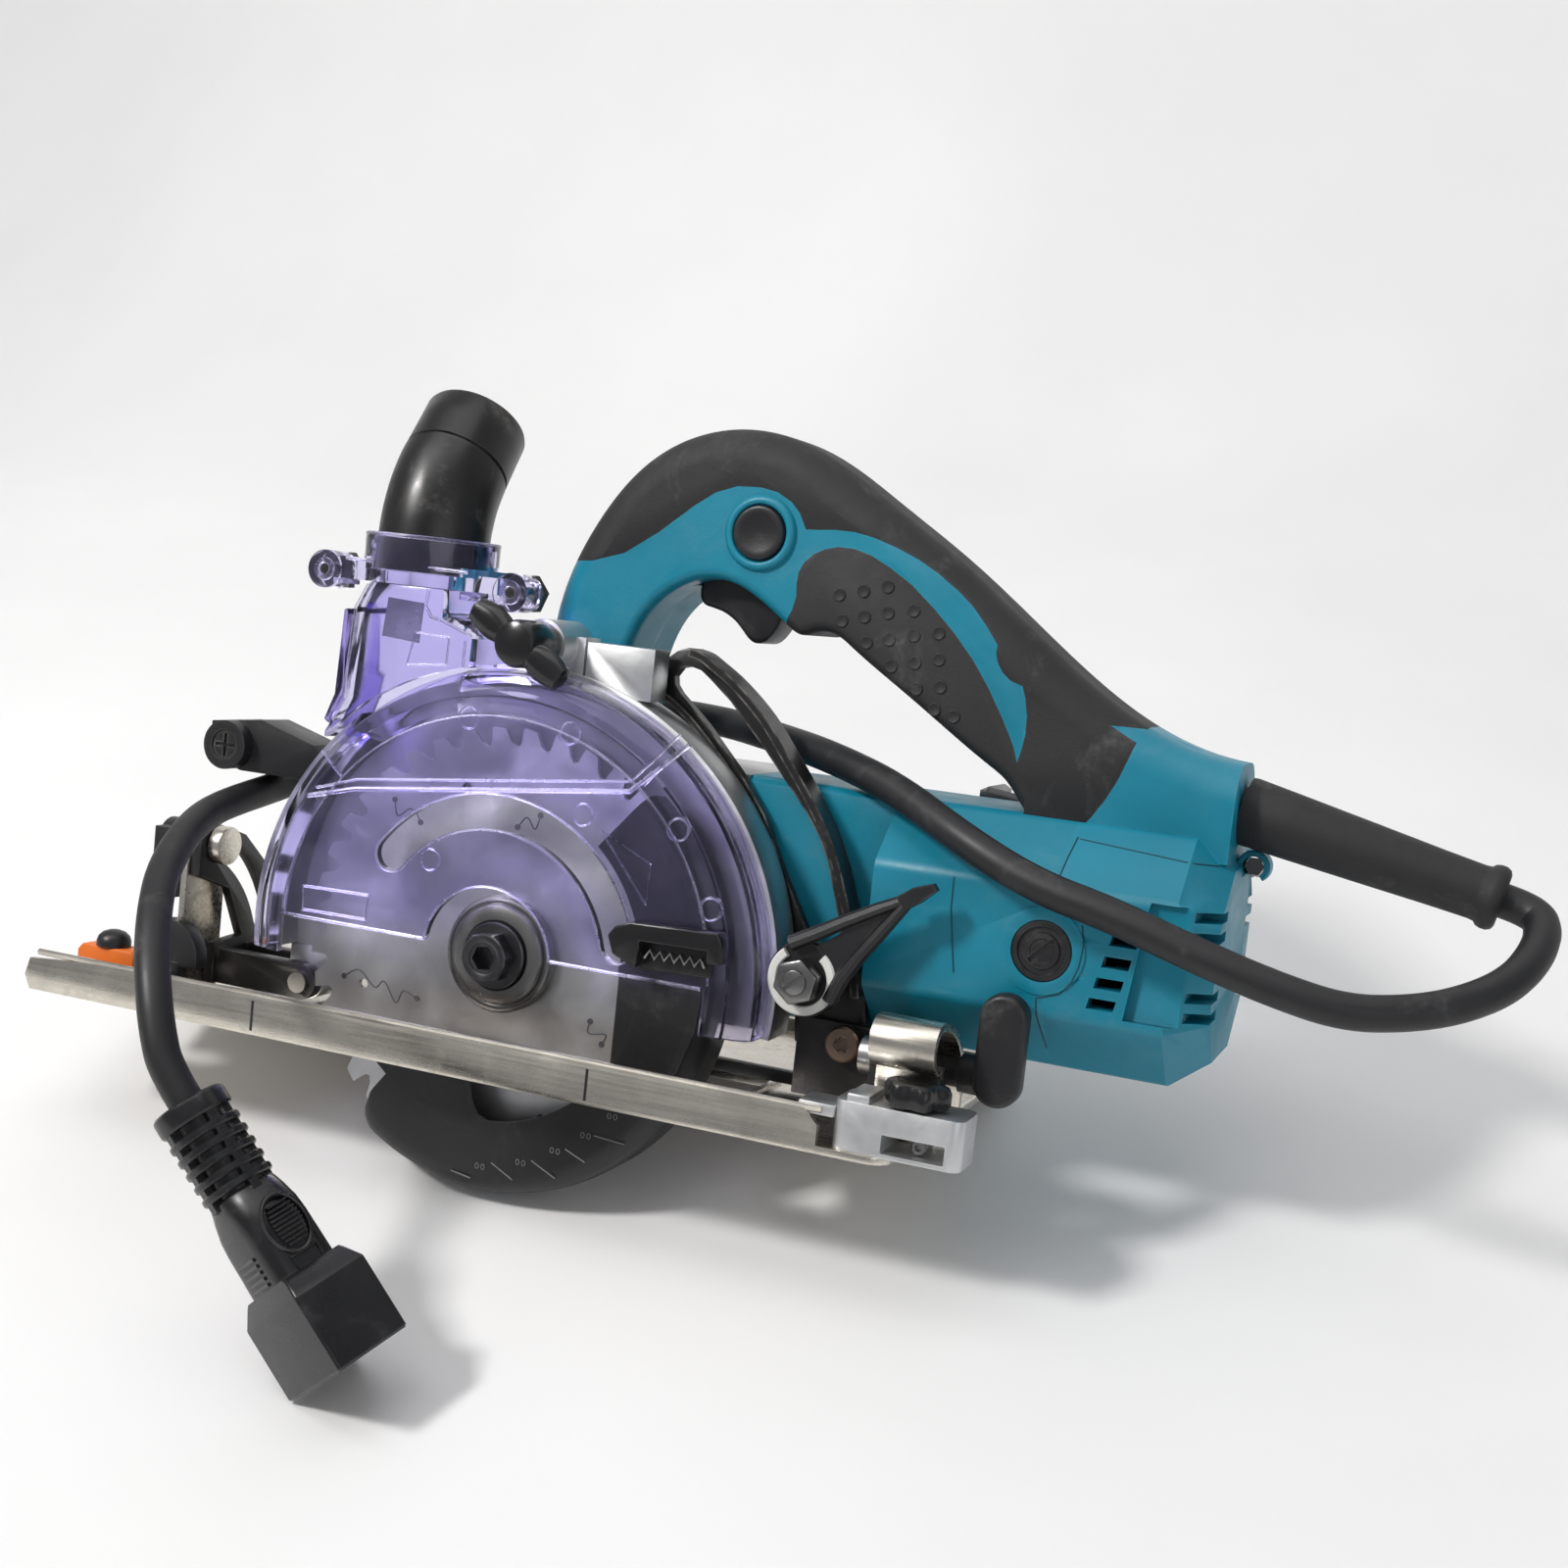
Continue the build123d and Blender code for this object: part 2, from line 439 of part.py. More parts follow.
# hollow for the switch and wires (walls stay about 3 mm)
core_out = [(-5.5, 92), (-5.0, 126), (-3.2, 137), (2.0, 145.5), (11.5, 158.5), (19.5, 167.3), (28.6, 172.4), (38.8, 174.6), (50.5, 174.6), (61.2, 171.7),
            (72.6, 165.2), (88.8, 156.2), (104.8, 145.4), (120.5, 134.0), (134.2, 123.6), (142.0, 117.5)]
core_in = [(138.0, 105.0), (127.0, 99.5), (113.0, 106.5), (100.0, 114.0), (89.0, 120.3), (79.0, 127.4), (70.6, 131.6), (60.0, 133.0),
           (51.5, 139.2), (42.0, 142.4), (32.0, 140.4), (22.0, 133.0), (14.8, 122.0), (12.0, 110.0), (12.0, 92.0)]
hollow = prism_y(core_out + core_in, HY0 + 4.2, HY1 - 4.2)
try:
    hollow = try_fillet(hollow, hollow.edges().filter_by(Axis.Y, reverse=True).filter_by(
        lambda q: abs(q.center().Y - HY0 - 4.2) < 0.01 or abs(q.center().Y - HY1 + 4.2) < 0.01), [3.0])
except Exception:
    pass
TR_Y0, TR_Y1 = 31.0, 45.0
trig_pocket = prism_y([(32.0, 120), (62.0, 120), (63.0, 150), (32.0, 152)], TR_Y0 - 0.5, TR_Y1 + 0.5)
LBX, LBZ, LBR = 53.0, 151.0, 7.4
hshell = hround - hollow - trig_pocket
hshell -= cy(LBX, LBZ, 10, MY, LBR + 0.06)
# cord guard seat
CG0, CG1 = (181.0, MY, 94.4), (252.0, MY, 79.5)
cgd = Vector(*CG1) - Vector(*CG0)
CGL = cgd.length
CPL = Plane(origin=CG0, z_dir=cgd.normalized())


def cg(z0, z1, r, r2=None):
    s = Cylinder(r, z1 - z0) if r2 is None else Cone(r, r2, z1 - z0)
    return CPL.location * Pos(0, 0, (z0 + z1) / 2) * s


hshell -= cg(0, 30, 6.0)
# soft grip regions: over the top, and the lower rear pad
grip_top = prism_y([(-30, 138.3), (-6.9, 138.4), (3.2, 139.0), (13.0, 142.0), (22.8, 148.6), (32.8, 156.8), (38.6, 160.8), (45.0, 163.0), (51.7, 163.2),
                    (56.7, 162.3), (60.9, 160.0), (63.6, 157.3), (65.8, 153.1), (69.6, 153.3), (74.2, 153.7), (79.7, 153.6), (85.2, 152.6), (91.6, 150.6),
                    (98.0, 148.0), (103.6, 144.9), (109.3, 141.1), (114.3, 137.0), (118.5, 132.4), (121.9, 128.1), (121.8, 126.0), (122.6, 123.6), (124.1, 121.2),
                    (126.4, 119.4), (129.8, 118.3), (130.9, 115.3), (131.8, 111.1), (132.0, 106.1), (131.4, 101.8), (130.7, 98.7), (125.5, 91.0), (125.5, 70.0),
                    (143.0, 70.0), (146.7, 81.0), (151.7, 87.3), (154.6, 92.0), (157.2, 97.3), (159.3, 103.2), (161.0, 109.0), (162.7, 112.7), (167.0, 122.0),
                    (190, 130), (190, 200), (-30, 200)], HY0 - 2, HY1 + 2)
grip_low = prism_y([(61.2, 125.0), (62.6, 127.7), (64.2, 131.2), (65.1, 135.0), (64.8, 138.7), (65.0, 141.6), (66.3, 144.3), (68.8, 146.8), (71.7, 148.3), (75.5, 149.3),
                    (80.2, 149.2), (85.0, 147.9), (90.7, 145.1), (97.3, 141.1), (104.0, 135.6), (109.9, 130.1), (115.9, 123.6), (121.2, 116.3), (125.8, 108.9),
                    (129.1, 102.9), (130.7, 98.7), (125.5, 91.0), (110, 88), (66, 110), (61.2, 118)], HY0 - 2, HY1 + 2)
tongues = hshell & (bx(122, 172, HY0 + 1.8, HY0 + 6.5, 97, 111) + bx(122, 172, HY1 - 6.5, HY1 - 1.8, 97, 111))   # shell under the grip's foot
grip = (hshell & grip_top) + (hshell & grip_low) - tongues
teal = hshell - grip_top - grip_low + tongues
half_l, half_r = bx(-60, 260, -20, MY, 60, 220), bx(-60, 260, MY, 100, 60, 220)


lsh = biggest(teal & half_l)
add("handle_right_shell", biggest(teal & half_r))
add("handle_grip", biggest(grip))
# trigger, pivot at its front top
TPX, TPZ = 36.5, 144.5
trg = prism_y([(33.6, 147.0), (33.6, 139.5), (38.0, 138.0), (42.5, 131.5), (45.5, 124.5), (49.5, 121.6), (53.0, 122.2), (56.5, 127.5), (58.8, 131.5),
               (58.0, 137.5), (50.0, 141.0), (41.0, 147.0)], TR_Y0, TR_Y1)
trg = try_fillet(trg, trg.edges().filter_by(lambda q: abs(q.center().Y - TR_Y0) < 0.01 or abs(q.center().Y - TR_Y1) < 0.01), [2.0, 1.2])
trg -= cy(TPX, TPZ, 20, 60, 1.55)
add("trigger", trg)
TPIN = cy(TPX, TPZ, HY0 + 4.0, HY1 - 4.2, 1.5)
add("handle_left_shell", lsh + TPIN)
add("lock_off_button", cy(LBX, LBZ, 19.5, 30.0, LBR))
SWU = bx(42.5, 64.0, 35.0, 49.4, 152.5, 167.0) + bx(30.0, 42.5, 36.0, 48.0, 155, 165)
try:
    hx = Helix(pitch=1.8, height=6.0, radius=2.2)
    spr = sweep(Plane(origin=hx @ 0, z_dir=hx % 0) * Circle(0.35), path=hx, is_frenet=True)
    spr = Pos(50.0, 38.0, 144.6) * spr
    assert spr.is_valid
except Exception as ex:
    print("spring2 fallback", ex)
    spr = Pos(50.0, 38.0, 147.6) * (Cylinder(2.5, 6.0) - Cylinder(1.9, 6.0))
add("switch_unit", SWU + spr + cz(50.0, 38.0, 150.4, 152.6, 2.6))

# cord guard, smooth tapered sleeve with an end ring
cgs = cg(0, CGL * 0.20, 5.98) + cg(CGL * 0.10, CGL - 5, 8.8, 7.0) + cg(CGL - 5, CGL, 8.2)
cgs -= bx(170, 187.0, 0, 80, 60, 120) - cg(-1, 30, 5.99)
add("cord_guard", cgs)

# hex wrench stored behind the handle's foot, on the right of the motor
HA, HB = Vector(113.5, 62.0, 85.6), Vector(188.0, 71.0, 75.2)
hd = (HB - HA).normalized()
hw = extrude(Plane(origin=HA, z_dir=hd) * RegularPolygon(2.6, 6), amount=(HB - HA).length)
hw += extrude(Plane(origin=HA - hd * 0.2, z_dir=(0, 1, 0)) * RegularPolygon(2.6, 6), amount=18.0)
add("hex_wrench", hw)
WPL = Plane(origin=HA + hd * ((182.5 - HA.X) / hd.X), z_dir=hd)
hole = WPL.location * Cylinder(2.66, 40.0)
clip = WPL.location * Cylinder(4.8, 7.0)
clip += prism_x([(63.0, 66.5), (67.5, 64.0), (73.5, 73.5), (69.0, 77.0)], 179.5, 186.0) - cx(MY, MZ, 150, 200, 26.5)
clip -= hole
PARTS["rear_cover"] = PARTS["rear_cover"] + clip

# ---------------------------------------------------------------- cover wing knob
kn = cy(4, 115, -20.0, -4.4, 6.4) - cy(4, 115, -14.2, 0, 3.05)
wing = Pos(4, -16.5, 115) * Rot(0, 31, 0) * Box(33.0, 6.4, 6.2)
wing = try_fillet(wing, wing.edges(), [2.2, 1.2])
kn += wing - cy(4, 115, -30, 0, 6.0)
add("cover_wing_knob", kn)

# ---------------------------------------------------------------- front cord bracket
cb = prism_y([(-101, 72), (-101, 82), (-84, 84), (-66, 79), (-62, 73), (-66, 68.8), (-90, 68.8)], -2.0, 11.0)
cb -= cy(SPX, SPZ, -20, 30, CASE_R)
cb += cy(-93, 76, -6.5, 11.0, 7.0)
cb -= cy(-93, 76, -10, -3.5, 4.2)
add("cord_bracket", cb)
scr += (cy(-93, 76, -6.0, -3.5, 4.1) - bx(-96.4, -89.6, -6.5, -5.2, 75.5, 76.5) - bx(-93.5, -92.5, -6.5, -5.2, 72.6, 79.4))
add("case_screws", scr)

# ---------------------------------------------------------------- depth guide, front bracket, rear bracket (tilt frame)
P0 = (PVX, PVZ)
GY0, GY1 = 16.0, 19.0
# plate with a closed loop at its top; the slot's lower part follows the pivot, so the bolt stays in it over the swing
GU_OUT = [(100.4, 17.9), (99.0, 32.7), (96.3, 47.4), (91.5, 62.0), (86.7, 73.0), (80.3, 82.9), (72.4, 93.2), (64.5, 102.8), (55.5, 110.7), (48.1, 115.5), (44.5, 117.5), (41.0, 118.3),
          (37.6, 118.2), (34.6, 117.0), (32.1, 115.0), (30.1, 112.6), (26.9, 110.2), (29.8, 105.0), (37.3, 100.8), (46.4, 93.0), (55.9, 82.8), (62.5, 73.3), (66.2, 62.5), (69.5, 54.0),
          (73.0, 45.0), (76.0, 36.5), (79.2, 28.0), (80.4, 16.9)]
GU_SLOT = [(91.9, 38.7), (89.7, 48.8), (87.4, 57.1), (84.3, 66.4), (81.2, 72.6), (76.4, 79.0), (71.0, 85.0), (63.0, 93.8), (51.9, 105.2), (45.2, 110.6), (42.4, 112.6), (39.4, 113.3),
           (36.5, 112.6), (34.9, 110.2), (35.2, 107.9), (36.9, 105.8), (45.8, 98.1), (56.9, 86.6), (65.0, 76.3), (70.2, 65.6), (75.0, 57.0), (80.4, 47.6), (84.1, 37.3), (85.2, 35.2),
           (87.4, 34.05), (89.8, 34.4), (91.4, 36.0)]
gu = prism_y(GU_OUT, GY0, GY1) - prism_y(GU_SLOT, 0, 40)
gu -= cy(96.0, 20.0, 0, 40, 3.0)
add("depth_guide", gu)
rb = bx(82, 108, 13.0, 16.0, 9.0, 25.0) + prism_x([(-3, 12.5), (1, 9.0), (16, 9.0), (16, 23.0), (11.5, 27.5), (-3, 27.5)], 108, 111.6)
rb -= cy(96.0, 20.0, 0, 40, 3.0) + cx(4, 20, 90, 120, 3.0)
rb += bx(82, 100, 13.0, 26.0, 4.0, 9.0)
add("rear_bracket", rb)
pins = (cy(96.0, 20.0, 11.8, 19.0, 3.0) + cy(96.0, 20.0, 10.0, 13.0, 4.6) - prism_y(hex_pts(2.2, (96, 20)), 9, 11.6))
FX0 = -102.0
fbp = [(-5, 37), (-5, 48.6), (4, 51.3), (16, 47.6), (30, 36), (36, 20), (36, 4), (5, 4), (5, 16), (18, 17), (10, 32)]
fb = prism_x(fbp, FX0, FX0 + 3.0)
fb -= sector(44.0 - 3.6, 44.0 + 3.6, 22.5, 67.5, FX0 - 5, FX0 + 10, (BVY, BVZ), "x", round_ends=True)
for y0, y1 in ((6.9, 10.6), (20.4, 24.0)):
    fb += bx(FX0 + 3.0, PVX, y0, y1, 4.0, 14.4) + cy(PVX, PVZ, y0, y1, 5.2)
fb -= cy(PVX, PVZ, 0, 40, 3.0)
fb += bx(PVX - 2, 82, 20.4, 24.0, 4.0, 7.2) - cy(PVX, PVZ, 0, 40, 3.0)
add("front_bracket", fb)
pins += cy(PVX, PVZ, 5.4, 25.5, 3.0)
pins += cx(4, 20, 106, 145, 3.0) + cx(4, 20, 104.0, 108.0, 5.0)
add("frame_pins", pins)
# depth bolt, lever, nut, washer
dbolt = (cy(BTX, BTZ, -12.5, 27.0, 2.98) - bx(BTX - 4, BTX + 4, -13, -11.4, BTZ - 0.5, BTZ + 0.5))
dbolt += prism_y(hex_pts(6.0, (BTX, BTZ), 12), -10.4, -5.6)
add("lever_washer", (tube_y(BTX, BTZ, -5.2, -3.6, 8.2, 3.04)) - bx(BTX - 12, BTX - 5.5, -6, 0, BTZ - 4, BTZ + 3))
lv = cy(BTX, BTZ, -3.6, 13.0, 7.6)
lv += prism_y([(BTX - 4, BTZ + 6), (BTX + 3, BTZ - 7), (BTX + 17, BTZ + 9), (BTX + 35.5, BTZ + 29), (BTX + 34, BTZ + 31.5), (BTX + 13, BTZ + 17)], -8.0, -1.5) - cy(BTX, BTZ, -20, -3.6, 9.2)
lv += prism_y([(BTX + 2, BTZ - 6), (BTX + 15, BTZ + 8), (BTX + 12, BTZ + 14), (BTX - 2, BTZ + 6)], -1.6, 3.0)
lv -= cy(BTX, BTZ, -20, 20, 3.04)
add("depth_lever", lv)
dbolt += cy(BTX, BTZ, 13.4, 15.6, 7.4) + cy(BTX, BTZ, 15.6, 20.0, 3.6)
add("depth_bolt", dbolt)

# ---------------------------------------------------------------- base
bp_ = bx(BASE_X0, BASE_X1, BASE_Y0, BASE_Y1, 0, BASE_T)
bp_ = try_fillet(bp_, bp_.edges().filter_by(Axis.Z), [6.0, 3.0])
bp_ -= bx(OPEN_X0, OPEN_X1, OPEN_Y0, OPEN_Y1, -5, 10)
lip_pts = [(BASE_X0 + 2, 0), (BASE_X0, 4), (BASE_X0 + 1.5, 9.0), (BASE_X0 + 26, LIP_H), (BASE_X1 - 22.5, LIP_H), (BASE_X1 - 18.5, 7), (BASE_X1 - 18.5, 0)]
bp_ += prism_y(lip_pts, BASE_Y0, BASE_Y0 + 1.8)
bp_ += bx(BASE_X0 + 8, BASE_X1 - 8, BASE_Y1 - 1.8, BASE_Y1, 0, 6.0)
rim = bx(OPEN_X0 - 1.6, OPEN_X1 + 1.6, OPEN_Y0 - 1.6, OPEN_Y1 + 1.6, BASE_T - 0.1, BASE_T + 1.2) - bx(OPEN_X0, OPEN_X1, OPEN_Y0, OPEN_Y1, 0, 10)
bp_ += rim
bp_ -= bx(BASE_X0 - 1, BASE_X0 + 15, -3.5, 3.5, -1, 5)      # sight notch on the blade line
add("base_plate", bp_)
UX0 = FX0 - 2.6
up = prism_x([(-6, BASE_T), (12, BASE_T), (12, 40), (8, 48.6), (2.5, 51.3), (-3, 48.6), (-6, 40)], UX0, UX0 + 2.2)
FBY, FBZ = pt(44.0, 67.5, (BVY, BVZ))
up -= cx(FBY, FBZ, -120, -80, 3.0)
up += bx(UX0 - 12, UX0, -5, 11, BASE_T, BASE_T + 2.2)
up += cx(FBY, FBZ, UX0 - 14, FX0 + 7.2, 3.0) + cx(FBY, FBZ, FX0 + 3.4, FX0 + 7.2, 5.6)
add("front_quadrant", up)
fl = cx(FBY, FBZ, UX0 - 11, UX0 - 0.4, 6.0)
fl += bx(UX0 - 10, UX0 - 5, FBY - 4, FBY + 4, FBZ - 17, FBZ)
fl += bx(UX0 - 10, UX0 - 5, FBY - 9, FBY + 2, FBZ - 4, FBZ + 4)
fl -= cx(FBY, FBZ, -200, 0, 3.05)
add("front_bevel_lever", fl)
RQX, RQX1 = 112.0, 129.0
RBR = hypot(4 - BVY, 20 - BVZ)
RBA = degrees(atan2(20 - BVZ, 4 - BVY))
BEND = pt(RBR, RBA + 45.0, (BVY, BVZ))
BVC = (BVY, BVZ)
oc = [(-9.6, BASE_T), (-9.6, 22.1)] + [pt(6.6, a, BEND) for a in range(-80, -265, -15)]
oc += [pt(30.0, a, BVC) for a in (82, 75, 68, 61, 54, 47, 40, 36)] + [(12.4, 17.5), (12.4, BASE_T)]
ic = [(-7.6, 0.0), (10.4, 0.0), (10.4, 17.0)] + [pt(28.0, a, BVC) for a in (38, 45, 52, 59, 66, 72)] + [(-7.6, 32.2)]
rq = prism_x(oc, RQX, RQX1) - prism_x(ic, RQX + 2.5, RQX1 + 1)
rq -= sector(RBR - 4.4, RBR + 4.4, RBA, RBA + 45.0, RQX + 2.5, RQX1 + 1, BVC, "x", round_ends=True)
rq -= sector(RBR - 3.5, RBR + 3.5, RBA, RBA + 45.0, RQX - 5, RQX + 8, BVC, "x", round_ends=True)
add("rear_quadrant", rq)
rk = cx(4, 20, RQX + 2.9, 130.4, 3.9) + cx(4, 20, 130.4, 136.0, 5.0)
pd = bx(134.4, 147.4, -4.2, 2.0, 14.2, 43.0)
pd = try_fillet(pd, pd.edges().filter_by(Axis.Y), [6.0, 3.0])
pd = try_fillet(pd, pd.edges().filter_by(lambda q: abs(q.center().Y + 4.2) < 0.01 or abs(q.center().Y - 2.0) < 0.01), [1.6, 1.0])
rk += pd
rk -= cx(4, 20, 100, 145.4, 3.05)
add("rear_bevel_knob", rk)
FSX, FSY = 126.0, -18.5               # fence screw
fh = bx(107.0, 140.0, -25.0, -10.0, BASE_T, 14.5)
fh = try_fillet(fh, fh.edges().filter_by(Axis.Z), [3.0, 2.0])
fh -= bx(120.0, 136.0, -40, 10, 3.2, 7.8)
fh -= cz(FSX, FSY, 7.0, 20, 3.05)
add("fence_holder", fh)
fs = cz(FSX, FSY, 8.2, 15.2, 3.0) + cz(FSX, FSY, 15.0, 21.2, 6.4)
for k in range(6):
    q = pt(5.9, 60 * k + 20, (FSX, FSY))
    fs += cz(q[0], q[1], 15.2, 20.6, 1.9)
add("fence_screw", fs)
WX, WY = -98.0, -16.0
wf = cz(WX, WY, BASE_T + 0.4, 14.0, 5.0)
hd_ = [(WX - 10.5, 13.0)] + [(WX + 10.5 * cos(radians(a)), 15.5 + 10.5 * sin(radians(a))) for a in range(180, -1, -15)] + [(WX + 10.5, 13.0)]
wf += prism_y(hd_, WY - 2.4, WY + 2.4)
wf -= cz(WX, WY, 0, 11.0, 3.05)
add("front_fence_screw", wf)
PARTS["base_plate"] = PARTS["base_plate"] + cz(WX, WY, BASE_T - 0.5, 10.6, 3.0)
sg = bx(BASE_X0 + 3, BASE_X0 + 26, -14, -6, BASE_T, BASE_T + 2.4) + bx(BASE_X0 - 3, BASE_X0 + 3, -11.2, -8.8, BASE_T, BASE_T + 2.4)
sg -= cz(BASE_X0 + 18, -10, 0, 12, 2.0)
add("sight_guide", sg)
add("sight_screw", cz(BASE_X0 + 18, -10, BASE_T, BASE_T + 2.4, 2.0) + cz(BASE_X0 + 18, -10, BASE_T + 2.4, BASE_T + 9.0, 5.2))

# ---------------------------------------------------------------- lean and place
allb = Compound(children=[Rot(LEAN, 0, 0) * q for q in PARTS.values()])
bb = allb.bounding_box()
DX, DY, DZ = -(bb.min.X + bb.max.X) / 2, -(bb.min.Y + bb.max.Y) / 2, -bb.min.Z
print("lean", round(LEAN, 4), "shift", round(DX, 4), round(DY, 4), round(DZ, 4), "size", bb.size)
PLACE = Pos(DX, DY, DZ) * Rot(LEAN, 0, 0)


def row(p):
    c_, s_ = cos(radians(LEAN)), sin(radians(LEAN))
    return Vector(p[0] + DX, p[1] * c_ - p[2] * s_ + DY, p[1] * s_ + p[2] * c_ + DZ)


ROWPARTS = {n: PLACE * q for n, q in PARTS.items()}

# ---------------------------------------------------------------- cord and plug, in the bench frame
PLUG_L, PLUG_W, PLUG_H = 74.0, 31.2, 20.6        # the plug stands on one edge of its end, held up by the cord
pax = Vector(0.6544, -0.2171, -0.7243).normalized()
pux = Vector(0.6983, -0.1938, 0.6891)
pux = (pux - pax * pux.dot(pax)).normalized()
puy = pax.cross(pux)
PLUG_END = Vector(-44.0, -140.6, 0.0)
PLUG_END = Vector(PLUG_END.X, PLUG_END.Y, 0.06 + abs(pux.Z) * PLUG_W / 2 + abs(puy.Z) * PLUG_H / 2)
TAIL = PLUG_END - pax * PLUG_L
cgn = cgd.normalized()
S_ROUTE = [CG1, tuple(Vector(*CG1) + cgn * 7.0), (262.2, 33.6, 75.0), (261.4, 24.0, 69.3), (256.4, 13.0, 62.6), (246.6, 4.5, 57.4), (235.5, -3.0, 54.6), (222.0, -8.0, 53.2),
           (206.0, -9.8, 56.2), (186.0, -10.0, 61.5), (166.0, -9.0, 67.5), (146.0, -7.5, 71.5), (125.0, -1.5, 79.5), (103.0, 11.0, 88.5),
           (79.0, 25.0, 93.5), (57.0, 41.0, 95.5), (34.0, 57.0, 97.0), (8.0, 69.0, 97.0), (-22.0, 72.0, 94.0), (-50.0, 64.0, 87.0), (-72.0, 48.0, 77.0),
           (-84.0, 27.0, 68.0), (-87.0, 9.0, 63.3), (-86.7, -6.2, 61.1), (-85.8, -19.6, 58.7), (-84.3, -32.4, 55.5), (-81.7, -45.1, 51.2), (-77.6, -57.6, 45.4), (-71.7, -68.8, 37.7),
           (-64.4, -77.2, 28.7), (-57.1, -82.0, 19.9), (-50.4, -84.3, 12.0)]
ROUTE = [row(q) for q in S_ROUTE] + [TAIL - pax * 10.0, TAIL]


def cord_radii(pts):
    out = []
    for a, b, c in zip(pts, pts[1:], pts[2:]):
        u, w = b - a, c - b
        turn = radians(u.get_angle(w))
        out.append(0.45 * min(u.length, w.length) / tan(turn / 2))
    return out


RAD = cord_radii(ROUTE)
print("cord radii", [round(r, 1) for r in RAD])
cpath = FilletPolyline(*ROUTE, radius=RAD)
cord = sweep(Plane(origin=ROUTE[0], z_dir=(ROUTE[1] - ROUTE[0])) * Circle(CORD_R), path=cpath)
print("cord length", round(cpath.length, 1), "volume ratio", round(cord.volume / (pi * CORD_R ** 2 * cpath.length), 4), cord.is_valid)
ROWPARTS["cord"] = cord
PP = Plane(origin=TAIL, x_dir=pux, z_dir=pax)


def pl(z0, z1, r, r2=None):
    q = Cylinder(r, z1 - z0) if r2 is None else Cone(r, r2, z1 - z0)
    return PP.location * Pos(0, 0, (z0 + z1) / 2) * q


def pbox(z0, z1, w, h, f):
    q = Pos(0, 0, (z0 + z1) / 2) * Box(w, h, z1 - z0)
    q = try_fillet(q, q.edges().filter_by(Axis.Z), [f])
    return PP.location * q


plug = pl(0, 5.2, 9.4) + pl(5.0, 27, 7.6)
for k in range(5):
    plug += pl(7.6 + 3.7 * k, 9.6 + 3.7 * k, 9.2)
plug += pbox(25.4, 51.0, 22.0, 17.0, 6.0)


def pface(z, w, h):
    return make_face(Polyline(*[tuple(TAIL + pax * z + pux * (a * w / 2) + puy * (b * h / 2)) for a, b in ((1, 1), (-1, 1), (-1, -1), (1, -1))], close=True))


blk = loft([pface(49.0, 25.5, 17.6), pface(54.0, PLUG_W, PLUG_H), pface(PLUG_L, PLUG_W, PLUG_H)], ruled=True)
blk -= pbox(61.0, 80.0, PLUG_W - 5.0, PLUG_H - 5.0, 2.0)
plug += blk
ROWPARTS["plug_body"] = plug
pins_ = Part()
for sx in (-6.35, 6.35):
    pins_ += PP.location * Pos(sx, 0, 66.5) * Box(1.5, 6.2, 11.0)
ROWPARTS["plug_pins"] = pins_
print("plug low", round(plug.bounding_box().min.Z, 2))

for n, q in ROWPARTS.items():
    so = q.solids()
    if len(so) > 1:
        print("  multi", n, [round(w.volume, 1) for w in so])
    if not q.is_valid:
        print("  INVALID", n)
    export_step(q, "parts/%s.step" % n)
print(len(ROWPARTS), "nodes")
print("ROUTE_M", [tuple(round(c / 1000, 5) for c in q) for q in ROUTE])
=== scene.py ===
# Looks of a compact dust-collecting circular saw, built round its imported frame.
import bpy, bmesh, json
from math import sin, cos, tan, atan2, radians, degrees, pi, sqrt, hypot
from mathutils import Vector, Matrix


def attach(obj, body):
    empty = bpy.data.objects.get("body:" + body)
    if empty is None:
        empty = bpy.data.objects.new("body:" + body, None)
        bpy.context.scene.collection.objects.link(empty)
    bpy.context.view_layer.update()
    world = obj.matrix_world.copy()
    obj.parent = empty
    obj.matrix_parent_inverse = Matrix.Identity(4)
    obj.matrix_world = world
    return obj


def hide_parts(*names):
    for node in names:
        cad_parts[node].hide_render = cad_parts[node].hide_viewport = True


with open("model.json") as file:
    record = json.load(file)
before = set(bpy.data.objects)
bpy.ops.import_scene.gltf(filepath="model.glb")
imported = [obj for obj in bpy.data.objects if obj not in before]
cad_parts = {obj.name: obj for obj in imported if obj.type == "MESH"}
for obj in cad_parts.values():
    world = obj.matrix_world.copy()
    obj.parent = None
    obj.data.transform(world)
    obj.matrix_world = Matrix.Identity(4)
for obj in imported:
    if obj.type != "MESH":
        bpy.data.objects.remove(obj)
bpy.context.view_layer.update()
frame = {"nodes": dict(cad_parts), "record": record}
N = frame["nodes"]
SC = bpy.context.scene

# ------------------------------------------------------------------ saw frame (mm) to row frame (m)
LEAN = -atan2(35.5, 88.0)
DX, DY, DZ = -54.8421, -45.2363, 35.5783
CL, SL = cos(LEAN), sin(LEAN)


def R(x, y, z):
    return Vector(((x + DX) / 1000.0, (y * CL - z * SL + DY) / 1000.0, (y * SL + z * CL + DZ) / 1000.0))


# ------------------------------------------------------------------ camera
cam = bpy.data.objects.new("camera", bpy.data.cameras.new("camera"))
SC.collection.objects.link(cam)
cam.data.lens, cam.data.sensor_width, cam.data.sensor_fit = 45.8405, 36.0, "HORIZONTAL"
cam.data.clip_start, cam.data.clip_end = 0.01, 20.0
AX = [(0.926716, 0.374057, -0.03576), (-0.131465, 0.411902, 0.901695), (0.352015, -0.830914, 0.430892)]
cam.matrix_world = Matrix([[AX[0][i], AX[1][i], AX[2][i], (0.202334, -0.441139, 0.338139)[i]] for i in range(3)] + [[0, 0, 0, 1]])
SC.camera = cam


